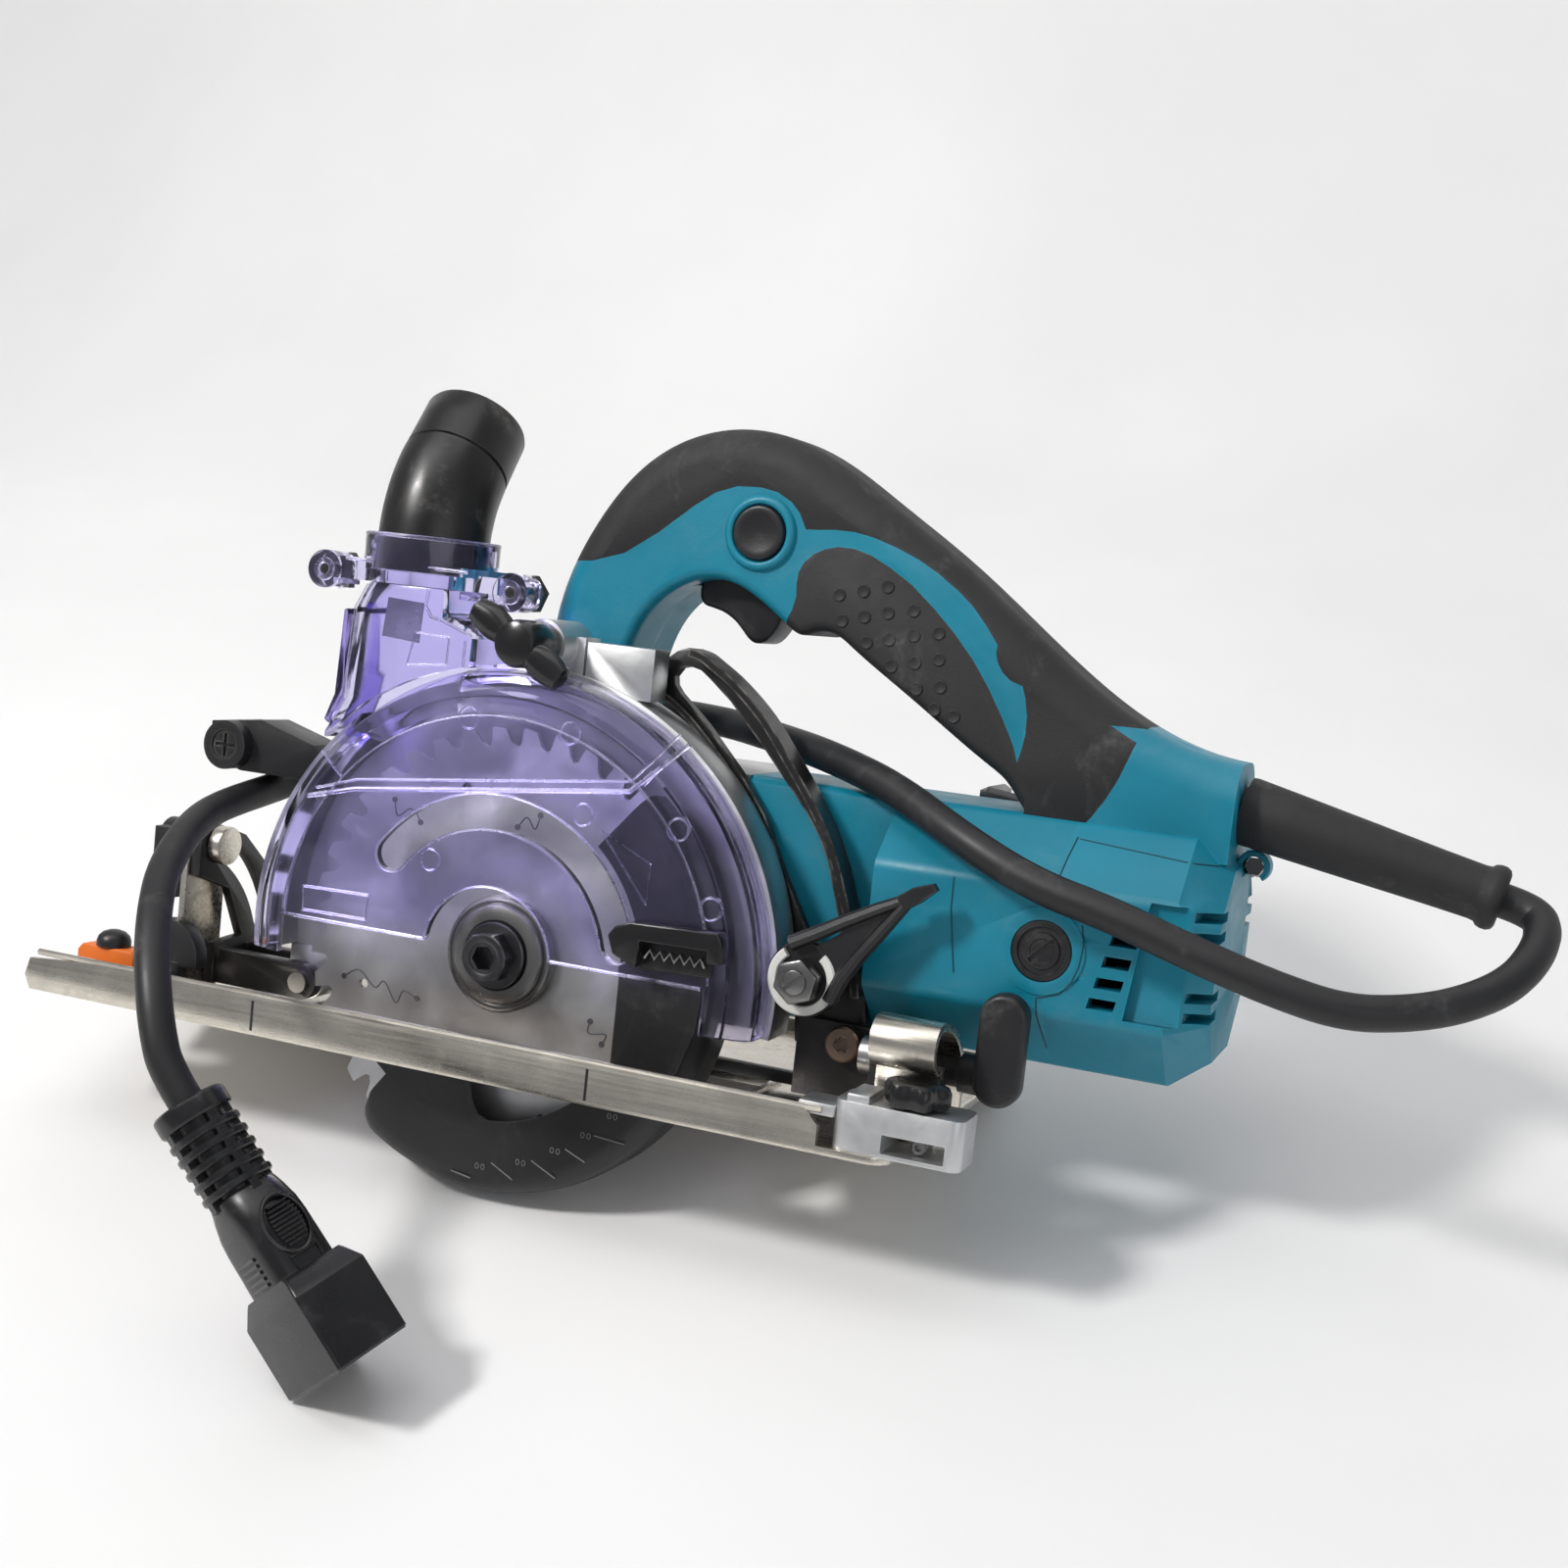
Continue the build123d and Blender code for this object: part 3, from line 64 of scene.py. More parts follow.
# ------------------------------------------------------------------ material kit
def srgb(r, g, b):
    f = lambda c: (c / 255.0) / 12.92 if c <= 10 else ((c / 255.0 + 0.055) / 1.055) ** 2.4
    return (f(r), f(g), f(b), 1.0)


class Mat:
    """small node builder round one Principled shader."""

    def __init__(self, name, **k):
        self.m = bpy.data.materials.new(name)
        self.m.use_nodes = True
        self.t = self.m.node_tree
        self.t.nodes.clear()
        self.out = self.t.nodes.new("ShaderNodeOutputMaterial")
        self.p = self.t.nodes.new("ShaderNodeBsdfPrincipled")
        self.t.links.new(self.p.outputs[0], self.out.inputs[0])
        for n, v in k.items():
            self.set(n, v)

    def set(self, n, v):
        self.p.inputs[n.replace("_", " ")].default_value = v

    def n(self, kind, **k):
        x = self.t.nodes.new("ShaderNode" + kind)
        for a, v in k.items():
            if isinstance(a, str) and hasattr(x, a):
                setattr(x, a, v)
        return x

    def link(self, a, b):
        self.t.links.new(a, b)
        return b

    def coord(self, scale=(1, 1, 1), saw=False, rot=(0, 0, 0)):
        c = self.n("TexCoord")
        mp = self.n("Mapping")
        mp.inputs["Scale"].default_value = scale
        mp.inputs["Rotation"].default_value = (rot[0] - (LEAN if saw else 0.0), rot[1], rot[2])
        self.link(c.outputs["Object"], mp.inputs["Vector"])
        return mp.outputs[0]

    def noise(self, scale, detail=3.0, rough=0.5, vec=None, dist=0.0):
        x = self.n("TexNoise")
        x.inputs["Scale"].default_value = scale
        x.inputs["Detail"].default_value = detail
        x.inputs["Roughness"].default_value = rough
        x.inputs["Distortion"].default_value = dist
        self.link(vec if vec is not None else self.coord(), x.inputs["Vector"])
        return x.outputs["Fac"]

    def voronoi(self, scale, vec=None, feature="F1", out="Distance"):
        x = self.n("TexVoronoi")
        x.feature = feature
        x.inputs["Scale"].default_value = scale
        self.link(vec if vec is not None else self.coord(), x.inputs["Vector"])
        return x.outputs[out]

    def ramp(self, fac, stops):
        x = self.n("ValToRGB")
        e = x.color_ramp.elements
        while len(e) < len(stops):
            e.new(0.5)
        for s, (p, c) in zip(e, stops):
            s.position = p
            s.color = c if len(c) == 4 else (*c, 1.0)
        self.link(fac, x.inputs[0])
        return x.outputs[0]

    def range(self, fac, a, b, c, d):
        x = self.n("MapRange")
        for i, v in enumerate((a, b, c, d)):
            x.inputs[1 + i].default_value = v
        self.link(fac, x.inputs[0])
        return x.outputs[0]

    def mix(self, fac, a, b, blend="MIX"):
        x = self.n("Mix")
        x.data_type = "RGBA"
        x.blend_type = blend
        for s, v in ((x.inputs[0], fac), (x.inputs[6], a), (x.inputs[7], b)):
            if hasattr(v, "is_output"):
                self.link(v, s)
            else:
                s.default_value = v
        return x.outputs[2]

    def math(self, op, a, b=0.5, clamp=False):
        x = self.n("Math")
        x.operation = op
        x.use_clamp = clamp
        for s, v in ((x.inputs[0], a), (x.inputs[1], b)):
            if hasattr(v, "is_output"):
                self.link(v, s)
            else:
                s.default_value = v
        return x.outputs[0]

    def bump(self, height, strength=0.2, dist=0.0005, normal=None):
        x = self.n("Bump")
        x.inputs["Strength"].default_value = strength
        x.inputs["Distance"].default_value = dist
        self.link(height, x.inputs["Height"])
        if normal is not None:
            self.link(normal, x.inputs["Normal"])
        return x.outputs[0]

    def color(self, c):
        self.link(c, self.p.inputs["Base Color"])

    def rough(self, c):
        self.link(c, self.p.inputs["Roughness"])

    def normal(self, c):
        self.link(c, self.p.inputs["Normal"])


def edge_mask(m, radius=0.0012):
    """1 along convex and concave edges, from the difference of the true and the rounded normal."""
    b = m.n("Bevel")
    b.samples = 4
    b.inputs["Radius"].default_value = radius
    g = m.n("NewGeometry")
    d = m.n("VectorMath")
    d.operation = "DOT_PRODUCT"
    m.link(b.outputs[0], d.inputs[0])
    m.link(g.outputs["Normal"], d.inputs[1])
    return m.range(d.outputs["Value"], 0.985, 0.80, 0.0, 1.0)


def plastic(name, rgb, rough=0.42, grain=0.10, gscale=1500.0, dust=0.12, dustcol=(0.55, 0.53, 0.50, 1), wear=0.25, wearcol=None, spec=0.5):
    m = Mat(name)
    m.set("Specular_IOR_Level", spec)
    base = (*rgb[:3], 1.0)
    big = m.noise(22.0, 4.0, 0.55)
    var = m.mix(m.range(big, 0.3, 0.7, 0.0, 1.0), tuple(c * 0.86 for c in base[:3]) + (1,), tuple(min(1, c * 1.12) for c in base[:3]) + (1,))
    smud = m.noise(60.0, 6.0, 0.62, dist=0.6)
    fine = m.noise(700.0, 3.0, 0.6)
    dmask = m.math("MULTIPLY", m.range(smud, 0.56, 0.80, 0.0, 1.0), m.range(fine, 0.35, 0.65, 0.25, 1.0))
    dmask = m.math("MULTIPLY", dmask, dust)
    col = m.mix(dmask, var, dustcol)
    if wear > 0:
        e = m.math("MULTIPLY", edge_mask(m), m.range(m.noise(160.0, 5.0, 0.6), 0.42, 0.66, 0.0, 1.0))
        col = m.mix(m.math("MULTIPLY", e, wear), col, wearcol or tuple(min(1.0, c * 1.6 + 0.05) for c in base[:3]) + (1,))
    m.color(col)
    r = m.math("ADD", m.range(smud, 0.35, 0.75, rough - 0.06, rough + 0.12), m.math("MULTIPLY", fine, 0.06))
    m.rough(r)
    g = m.voronoi(gscale)
    m.normal(m.bump(g, grain, 0.00012))
    return m.m


def metal(name, rgb, rough=0.35, brushed=None, grime=0.3, grimecol=(0.06, 0.05, 0.04, 1), bumps=0.05, streak=0.5, metallic=1.0):
    m = Mat(name)
    m.set("Metallic", metallic)
    base = (*rgb[:3], 1.0)
    blot = m.noise(45.0, 6.0, 0.6, dist=0.4)
    spots = m.noise(300.0, 4.0, 0.6)
    col = m.mix(m.range(blot, 0.35, 0.7, 0.0, 1.0), tuple(c * 0.80 for c in base[:3]) + (1,), tuple(min(1, c * 1.08) for c in base[:3]) + (1,))
    gm = m.math("MULTIPLY", m.range(blot, 0.54, 0.78, 0.0, 1.0), m.range(spots, 0.40, 0.62, 0.1, 1.0))
    gm = m.math("MULTIPLY", gm, grime)
    col = m.mix(gm, col, grimecol)
    m.color(col)
    if brushed is not None:
        lines = m.noise(1.0, 3.0, 0.6, vec=m.coord(brushed, saw=True))
        h = lines
        r = m.math("ADD", m.range(lines, 0.3, 0.7, rough - 0.08 * streak, rough + 0.16 * streak), m.math("MULTIPLY", gm, 0.4))
    else:
        h = m.noise(420.0, 4.0, 0.6)
        r = m.math("ADD", m.range(blot, 0.3, 0.7, rough - 0.05, rough + 0.10), m.math("MULTIPLY", gm, 0.4))
    m.rough(r)
    m.normal(m.bump(h, bumps, 0.0002))
    return m.m


def clear(name, rgb, rough=0.06, shadow=(0.74, 0.70, 0.90, 1)):
    """tinted clear polycarbonate; lamps shine through it."""
    m = Mat(name)
    m.set("Transmission_Weight", 1.0)
    m.set("IOR", 1.45)
    m.set("Base_Color", (*rgb, 1.0))
    haze = m.noise(90.0, 6.0, 0.65, dist=0.5)
    scr = m.noise(1.0, 4.0, 0.6, vec=m.coord((160.0, 1400.0, 500.0)))
    m.rough(m.math("ADD", m.range(haze, 0.45, 0.75, rough, rough + 0.16), m.range(scr, 0.60, 0.75, 0.0, 0.10)))
    m.normal(m.bump(m.noise(240.0, 3.0, 0.5), 0.03, 0.0002))
    lp = m.n("LightPath")
    tr = m.n("BsdfTransparent")
    tr.inputs[0].default_value = shadow
    mx = m.n("MixShader")
    m.link(lp.outputs["Is Shadow Ray"], mx.inputs[0])
    m.link(m.p.outputs[0], mx.inputs[1])
    m.link(tr.outputs[0], mx.inputs[2])
    m.link(mx.outputs[0], m.out.inputs[0])
    return m.m


TEAL = plastic("teal_plastic", srgb(6, 124, 148), 0.40, 0.16, 1400.0, 0.10, wear=0.35)
RUBBER = plastic("black_rubber", srgb(34, 33, 34), 0.62, 0.30, 1900.0, 0.30, dustcol=(0.30, 0.29, 0.28, 1), wear=0.25, wearcol=(0.12, 0.12, 0.12, 1))
BLACK = plastic("black_plastic", srgb(27, 27, 29), 0.38, 0.14, 1700.0, 0.22, dustcol=(0.34, 0.33, 0.32, 1), wear=0.35, wearcol=(0.14, 0.14, 0.14, 1))
BLACKMETAL = plastic("black_metal", srgb(30, 29, 29), 0.36, 0.20, 900.0, 0.20, dustcol=(0.30, 0.28, 0.25, 1), wear=0.6, wearcol=(0.25, 0.24, 0.22, 1))
CORDM = plastic("cord_black", srgb(25, 25, 27), 0.48, 0.10, 1200.0, 0.25, dustcol=(0.30, 0.30, 0.30, 1), wear=0.0)
WHITE = plastic("white_plastic", srgb(226, 226, 220), 0.45, 0.06, 1400.0, 0.35, dustcol=(0.35, 0.33, 0.30, 1), wear=0.0)
ORANGE = plastic("orange_plastic", srgb(226, 112, 34), 0.45, 0.08, 1400.0, 0.45, dustcol=(0.20, 0.12, 0.07, 1), wear=0.2)
NICKEL = metal("nickel_steel", (0.70, 0.655, 0.575), 0.26, brushed=(30.0, 900.0, 900.0), grime=0.75, bumps=0.12)
ALU = metal("cast_aluminium", (0.66, 0.665, 0.67), 0.40, grime=0.25, bumps=0.10)
STEEL = metal("bright_steel", (0.56, 0.55, 0.54), 0.28, grime=0.45)
BLADEM = metal("blade_steel", (0.63, 0.63, 0.635), 0.34, grime=0.15, bumps=0.05)
COPPER = metal("copper", (0.72, 0.36, 0.20), 0.35, grime=0.3)
BRASS = metal("brass", (0.76, 0.60, 0.30), 0.30, grime=0.25)
CARBON = plastic("carbon", srgb(40, 40, 42), 0.55, 0.10, 1500.0, 0.1, wear=0.0)
VIOLET = clear("clear_violet", (0.74, 0.71, 0.97), 0.04, (0.86, 0.84, 0.98, 1))
SLOT = {"teal_plastic": TEAL, "black_rubber": RUBBER, "black_plastic": BLACK, "black_metal": BLACKMETAL, "cord_black": CORDM, "white_plastic": WHITE,
        "orange_plastic": ORANGE, "nickel_steel": NICKEL, "cast_aluminium": ALU, "bright_steel": STEEL, "blade_steel": BLADEM, "copper": COPPER,
        "brass": BRASS, "carbon": CARBON, "clear_violet": VIOLET}
NODE_SLOT = {s["node"]: s["material_slot"] for s in frame["record"]["subparts"]}
BODY = {n: b for b, ns in frame["record"]["behaviour"]["bodies"].items() for n in ns}


# ------------------------------------------------------------------ piece kit
SAWM = Matrix.Translation(R(0, 0, 0)) @ Matrix.Rotation(LEAN, 4, "X") @ Matrix.Scale(0.001, 4)


def put(name, me, body, mat, angle=35.0, space=SAWM):
    """one piece; its mesh is in saw millimetres unless space says otherwise."""
    if space is not None:
        me.transform(space)
    o = bpy.data.objects.new(name, me)
    SC.collection.objects.link(o)
    me.materials.clear()
    for q in (mat if isinstance(mat, (list, tuple)) else [mat]):
        me.materials.append(q)
    finish_shading(me, angle)
    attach(o, body)
    return o


def finish_shading(me, angle=35.0):
    bm = bmesh.new()
    bm.from_mesh(me)
    for f in bm.faces:
        f.smooth = True
    for e in bm.edges:
        e.smooth = not (len(e.link_faces) == 2 and e.calc_face_angle(0.0) > radians(angle))
    bm.to_mesh(me)
    bm.free()


class Geo:
    """a mesh put together in millimetres."""

    def __init__(self):
        self.v, self.f, self.k = [], [], []

    def add(self, vs, fs, k=0):
        o = len(self.v)
        self.v += [tuple(p) for p in vs]
        self.f += [tuple(i + o for i in q) for q in fs]
        self.k += list(k) if isinstance(k, (list, tuple)) else [k] * len(fs)
        return self

    def lathe(self, prof, c=(0.0, 30.0), n=96, a0=0.0, a1=360.0, axis="y", k=0):
        full = abs(a1 - a0) > 359.9
        st, m, vs, fs, ks = n if full else n + 1, len(prof), [], [], []
        for i in range(st):
            a = radians(a0 + (a1 - a0) * i / n)
            for r, t in prof:
                u, w = c[0] + r * cos(a), c[1] + r * sin(a)
                vs.append({"y": (u, t, w), "x": (t, u, w), "z": (u, w, t)}[axis])
        for i in range(n):
            j = (i + 1) % st
            for q in range(m):
                p = (q + 1) % m
                fs.append((i * m + q, i * m + p, j * m + p, j * m + q))
                ks.append(k[q] if isinstance(k, (list, tuple)) else k)
        if not full:
            fs += [tuple(range(m)), tuple((st - 1) * m + q for q in reversed(range(m)))]
            ks += [0, 0] if isinstance(k, (list, tuple)) else [k, k]
        return self.add(vs, fs, ks)

    def prism(self, pts, t0, t1, axis="y", k=0):
        at = {"y": lambda u, w, t: (u, t, w), "x": lambda u, w, t: (t, u, w), "z": lambda u, w, t: (u, w, t)}[axis]
        n = len(pts)
        vs = [at(u, w, t0) for u, w in pts] + [at(u, w, t1) for u, w in pts]
        return self.add(vs, [tuple(range(n)), tuple(range(2 * n - 1, n - 1, -1))] + [(i, (i + 1) % n, n + (i + 1) % n, n + i) for i in range(n)], k)

    def box(self, x0, x1, y0, y1, z0, z1, k=0):
        return self.prism([(x0, z0), (x1, z0), (x1, z1), (x0, z1)], y0, y1, k=k)

    def loft(self, rings, caps=True, k=0, wrap=False):
        m, n = len(rings[0]), len(rings)
        fs = []
        for i in range(n if wrap else n - 1):
            j = (i + 1) % n
            fs += [(i * m + q, i * m + (q + 1) % m, j * m + (q + 1) % m, j * m + q) for q in range(m)]
        if caps and not wrap:
            fs += [tuple(reversed(range(m))), tuple((n - 1) * m + q for q in range(m))]
        return self.add([p for r in rings for p in r], fs, k)

    def tube(self, path, r, n=8, closed=False, k=0):
        pts = [Vector(p) for p in path]
        rings, up, L = [], None, len(path)
        for i, p in enumerate(pts):
            a = pts[(i - 1) % L] if closed or i > 0 else p
            b = pts[(i + 1) % L] if closed or i < L - 1 else p
            d = (b - a).normalized()
            if up is None:
                up = Vector((0, 1, 0)) if abs(d.y) < 0.9 else Vector((1, 0, 0))
            up = (up - d * up.dot(d)).normalized()
            s = d.cross(up)
            q = r[i] if isinstance(r, (list, tuple)) else r
            rings.append([tuple(p + (up * cos(2 * pi * j / n) + s * sin(2 * pi * j / n)) * q) for j in range(n)])
        return self.loft(rings, True, k, closed)

    def ball(self, c, r, n=14, k=0):
        rings = [[(c[0] + r * sin(pi * i / (n // 2)) * cos(2 * pi * j / n), c[1] + r * sin(pi * i / (n // 2)) * sin(2 * pi * j / n), c[2] + r * cos(pi * i / (n // 2)))
                  for j in range(n)] for i in range(1, n // 2)]
        return self.loft(rings, True, k)

    def mesh(self, name, bevel=0.0, seg=2, angle=32.0):
        me = bpy.data.meshes.new(name)
        bm = bmesh.new()
        vv = [bm.verts.new(p) for p in self.v]
        for f, k in zip(self.f, self.k):
            try:
                bm.faces.new([vv[i] for i in f]).material_index = k
            except ValueError:
                pass
        bmesh.ops.remove_doubles(bm, verts=bm.verts[:], dist=1e-4)
        bmesh.ops.recalc_face_normals(bm, faces=bm.faces[:])
        if bevel:
            es = [e for e in bm.edges if len(e.link_faces) == 2 and e.calc_face_angle(0.0) > radians(angle)]
            bmesh.ops.bevel(bm, geom=es, offset=bevel, offset_type="OFFSET", segments=seg, profile=0.5, affect="EDGES", clamp_overlap=True)
        bm.to_mesh(me)
        bm.free()
        return me


def boolean(me, cuts, op="DIFFERENCE"):
    o = bpy.data.objects.new("tmp_body", me)
    SC.collection.objects.link(o)
    tmp = []
    for c in cuts:
        q = bpy.data.objects.new("tmp_cut", c)
        SC.collection.objects.link(q)
        tmp.append(q)
        md = o.modifiers.new("cut", "BOOLEAN")
        md.operation, md.solver, md.object = op, "EXACT", q
    bpy.context.view_layer.update()
    out = bpy.data.meshes.new_from_object(o.evaluated_get(bpy.context.evaluated_depsgraph_get()))
    for q in tmp + [o]:
        bpy.data.objects.remove(q)
    return out


def arc(r, a0, a1, n=40, c=(0.0, 30.0)):
    return [(c[0] + r * cos(radians(a0 + (a1 - a0) * i / n)), c[1] + r * sin(radians(a0 + (a1 - a0) * i / n))) for i in range(n + 1)]


def slotted(r0, r1, a0, a1, n=48):
    """outline of an arc slot with round ends."""
    rm, h = (r0 + r1) / 2, (r1 - r0) / 2
    end = lambda a, b: [(rm * cos(radians(a)) + h * cos(radians(a + b + t)), 30 + rm * sin(radians(a)) + h * sin(radians(a + b + t))) for t in range(15, 180, 15)]
    return arc(r1, a0, a1, n) + end(a1, 0) + arc(r0, a1, a0, n) + end(a0, 180)


def clean(node, bevel=0.0, seg=2, angle=32.0, dissolve=0.4):
    """the node's own shape in saw millimetres with softened edges."""
    bm = bmesh.new()
    bm.from_mesh(N[node].data)
    bmesh.ops.transform(bm, matrix=SAWM.inverted(), verts=bm.verts[:])
    bmesh.ops.remove_doubles(bm, verts=bm.verts[:], dist=0.002)
    if dissolve:
        bmesh.ops.dissolve_limit(bm, angle_limit=radians(dissolve), verts=bm.verts[:], edges=bm.edges[:])
    bmesh.ops.recalc_face_normals(bm, faces=bm.faces[:])
    if bevel:
        es = [e for e in bm.edges if len(e.link_faces) == 2 and e.calc_face_angle(0.0) > radians(angle)]
        bmesh.ops.bevel(bm, geom=es, offset=bevel, offset_type="OFFSET", segments=seg, profile=0.5, affect="EDGES", clamp_overlap=True)
    me = bpy.data.meshes.new(node + "_shell")
    bm.to_mesh(me)
    bm.free()
    return me


def swap(node, me, mat=None, angle=32.0, space=SAWM, name=None):
    """a finer piece in place of the node's plain solid."""
    o = put(name or node + "_visual", me, BODY[node], mat or SLOT[NODE_SLOT[node]], angle, space)
    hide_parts(node)
    return o


def upgrade(node, bevel=0.4, mat=None, seg=2, angle=32.0, dissolve=0.4):
    return swap(node, clean(node, bevel, seg, angle, dissolve), mat)


def extra(name, g, body, mat, bevel=0.0, angle=35.0):
    return put(name, g.mesh(name, bevel) if isinstance(g, Geo) else g, body, mat, angle)


for n, o in N.items():
    o.data.materials.clear()
    o.data.materials.append(SLOT[NODE_SLOT[n]])

# ------------------------------------------------------------------ cord
ROUTE = [(0.19716, 0.01975, 0.09509), (0.20401, 0.01921, 0.09376), (0.20736, 0.01398, 0.09256), (0.20656, 0.00295, 0.09087),
         (0.20156, -0.00976, 0.08877), (0.19176, -0.01959, 0.08713), (0.18066, -0.02759, 0.08734), (0.16716, -0.03275, 0.08791),
         (0.15116, -0.0333, 0.09136), (0.13116, -0.0315, 0.09635), (0.11116, -0.02833, 0.10154), (0.09116, -0.02544, 0.10469),
         (0.07016, -0.01689, 0.10987), (0.04816, -0.00193, 0.11354), (0.02416, 0.01293, 0.11294), (0.00216, 0.02851, 0.1088),
         (-0.02084, 0.04391, 0.10421), (-0.04684, 0.05504, 0.09972), (-0.07684, 0.0567, 0.09582), (-0.10484, 0.04666, 0.09232),
         (-0.12684, 0.02808, 0.08903), (-0.13884, 0.00524, 0.08854), (-0.14184, -0.01321, 0.09091), (-0.14154, -0.02813, 0.09456),
         (-0.14064, -0.04145, 0.09735), (-0.13714, -0.05452, 0.09917), (-0.13214, -0.06791, 0.09993), (-0.12624, -0.08167, 0.09923),
         (-0.11874, -0.09494, 0.09628), (-0.11174, -0.10609, 0.09108), (-0.10634, -0.11384, 0.08471), (-0.10244, -0.11893, 0.07824),
         (-0.09897, -0.12236, 0.07191), (-0.09243, -0.12453, 0.06466)]

# ------------------------------------------------------------------ clear dust cover
# deeper violet for the rim band, cut walls, duct inside walls and side flute: painted shade for light crossing thick
# plastic edge-on and for the duct's shaded inside
VIOLET_DEEP = clear("clear_violet_deep", (0.40, 0.33, 0.80), 0.06, (0.70, 0.66, 0.92, 1))
# paler, rougher clear material for the rib, slot-lip and collar-rim tubes: a painted highlight laid along real raised
# ridges
VIOLET_HIGHLIGHT = clear("clear_violet_highlight", (0.90, 0.88, 1.0), 0.22, (0.95, 0.94, 1.0, 1))
circle = lambda x, z, r, n=48: [(x + r * cos(2 * pi * i / n), z + r * sin(2 * pi * i / n)) for i in range(n)]
face = lambda pts, y: [(x, y, z) for x, z in pts]
cover = Geo().lathe([(19, -12), (64.8, -12), (65.6, -11.2), (70.2, -11.2), (70.6, -10.6), (70.6, -9.8), (73.5, -9.6), (76.6, -8), (77.6, -5.5), (78, 2),
                     (75.7, 2), (75.4, -4.6), (73.8, -6.6), (71.5, -7.6), (68.6, -8.2), (66.4, -9.2), (63.5, -9.8), (19, -9.8)], n=180,
                    k=[0, 0, 0, 0, 1, 1, 0, 1, 1, 1, 1, 1, 0, 0, 0, 0, 0, 1]).mesh("cover")
cuts = [Geo().prism([(-66, 32), (64, 32), (64, 20), (100, 20), (100, -70), (-100, -70), (-100, 21), (-66, 21)], -20, 10, k=1),
        Geo().prism(slotted(35.0, 44.0, 14, 143), -20, -5, k=1),
        Geo().box(-49, -17, -9, 1.0, 85, 120, k=1),
        Geo().prism(circle(4, 115, 8.0), -20, 10, k=1)]
swap("dust_cover", boolean(cover, [c.mesh("cut") for c in cuts]), [VIOLET, VIOLET_DEEP], 28.0)
rib = Geo()
for dz, r in ((0.0, 0.7), (2.6, 0.4)):
    rib.tube(face([(-61.1 + dz, 65.8 + dz), (-45.5, 69.8 + dz), (37.2, 80.1 + dz), (52.4 - dz, 94.3 + dz)], -9.7), r)
for x, z in ((-12.3, 93.5), (18.1, 93), (24.4, 72.3), (51.9, 72.1), (63.2, 53), (-20, 53.8)):
    rib.tube(face(circle(x, z, 2.9, 28), -9.75), 0.34, 6, True)
rib.tube(face([(30, 69), (45.2, 62.1), (45.1, 51.4)], -9.75), 0.36, 6, True)
rib.tube(face([(-59.7, 40.6), (-38.4, 41.1), (-38.8, 34.3), (-59.2, 34.0)], -9.75), 0.5, 6, True)
rib.tube(face(slotted(34.6, 44.4, 14, 143), -11.9), 0.36, 6, True)
rib.tube(face([(-64.0, 32.2), (-19.5, 32.2)], -11.6), 0.5)
rib.tube(face([(19.5, 32.2), (63.0, 32.2)], -11.6), 0.5)
rib.tube(face(arc(65.2, 3, 177, 80), -11.75), 0.3, 6)
rib.tube(face(arc(19.3, 6, 174, 40), -11.9), 0.34, 6)
for a in (52, 140):
    rib.tube(face([(66 * cos(radians(a)), 30 + 66 * sin(radians(a))), (76 * cos(radians(a)), 30 + 76 * sin(radians(a)))], -9.2), 0.5, 6)
# cover ridges, screw rings and slot lip drawn in the pale clear material as painted highlight lines
extra("cover_ribs", rib, "saw_body", VIOLET_HIGHLIGHT)

# duct: walls, side flute, inner pocket, flap
O_ = [(-47, 127), (-50.6, 119.5), (-52.2, 94), (-57.5, 84.5), (-57.5, 78), (-14, 96), (-12.2, 106), (-12.2, 116), (-21.8, 120.6), (-22.2, 127)]
I_ = [(-44.8, 128), (-48.2, 119.2), (-49.8, 94.6), (-53.6, 86), (-52, 66), (-16, 84), (-14.6, 106), (-14.6, 114.4), (-24.2, 119), (-24.5, 128)]
duct = boolean(Geo().prism(O_, -10.5, 13.5).mesh("duct", 0.8), [Geo().prism(I_, -8.3, 11.3, k=1).mesh("cut"), Geo().prism(circle(0, 30, 78.1, 180), -30, 2.0, k=1).mesh("cut"),
                                                              Geo().prism(circle(0, 30, 79.1, 180), 1.9, 30, k=1).mesh("cut")])
swap("dust_duct", duct, [VIOLET, VIOLET_DEEP], 30.0)
fin = Geo().prism([(-55.6, 118.5), (-54.4, 118.9), (-53.6, 95), (-57.6, 86.5), (-59.2, 87.6), (-56.4, 95)], -8.6, 9.0)
fin.prism([(-54.6, 118.6), (-50.4, 119.4), (-50.6, 117.9), (-54.6, 117.2)], -8.6, 9.0)
extra("duct_fin", fin, "saw_body", VIOLET_DEEP, 0.4)
pock = Geo().tube(face([(-31.0, 114.6), (-20.6, 114.2), (-20.8, 106.8), (-33.0, 105.6)], -10.4), 0.4, 6, True)
pock.tube(face([(-15.6, 113.8), (-15.6, 106.6)], -10.4), 0.4, 6)
pock.tube(face([(-28.0, 126.4), (-28.6, 122.0), (-26.6, 119.2), (-22.6, 118.4), (-13.6, 115.2)], -10.7), 0.45, 6)
pock.tube(face([(-47.2, 126.0), (-50.6, 119.4), (-52.2, 94.2)], -10.5), 0.4, 6)
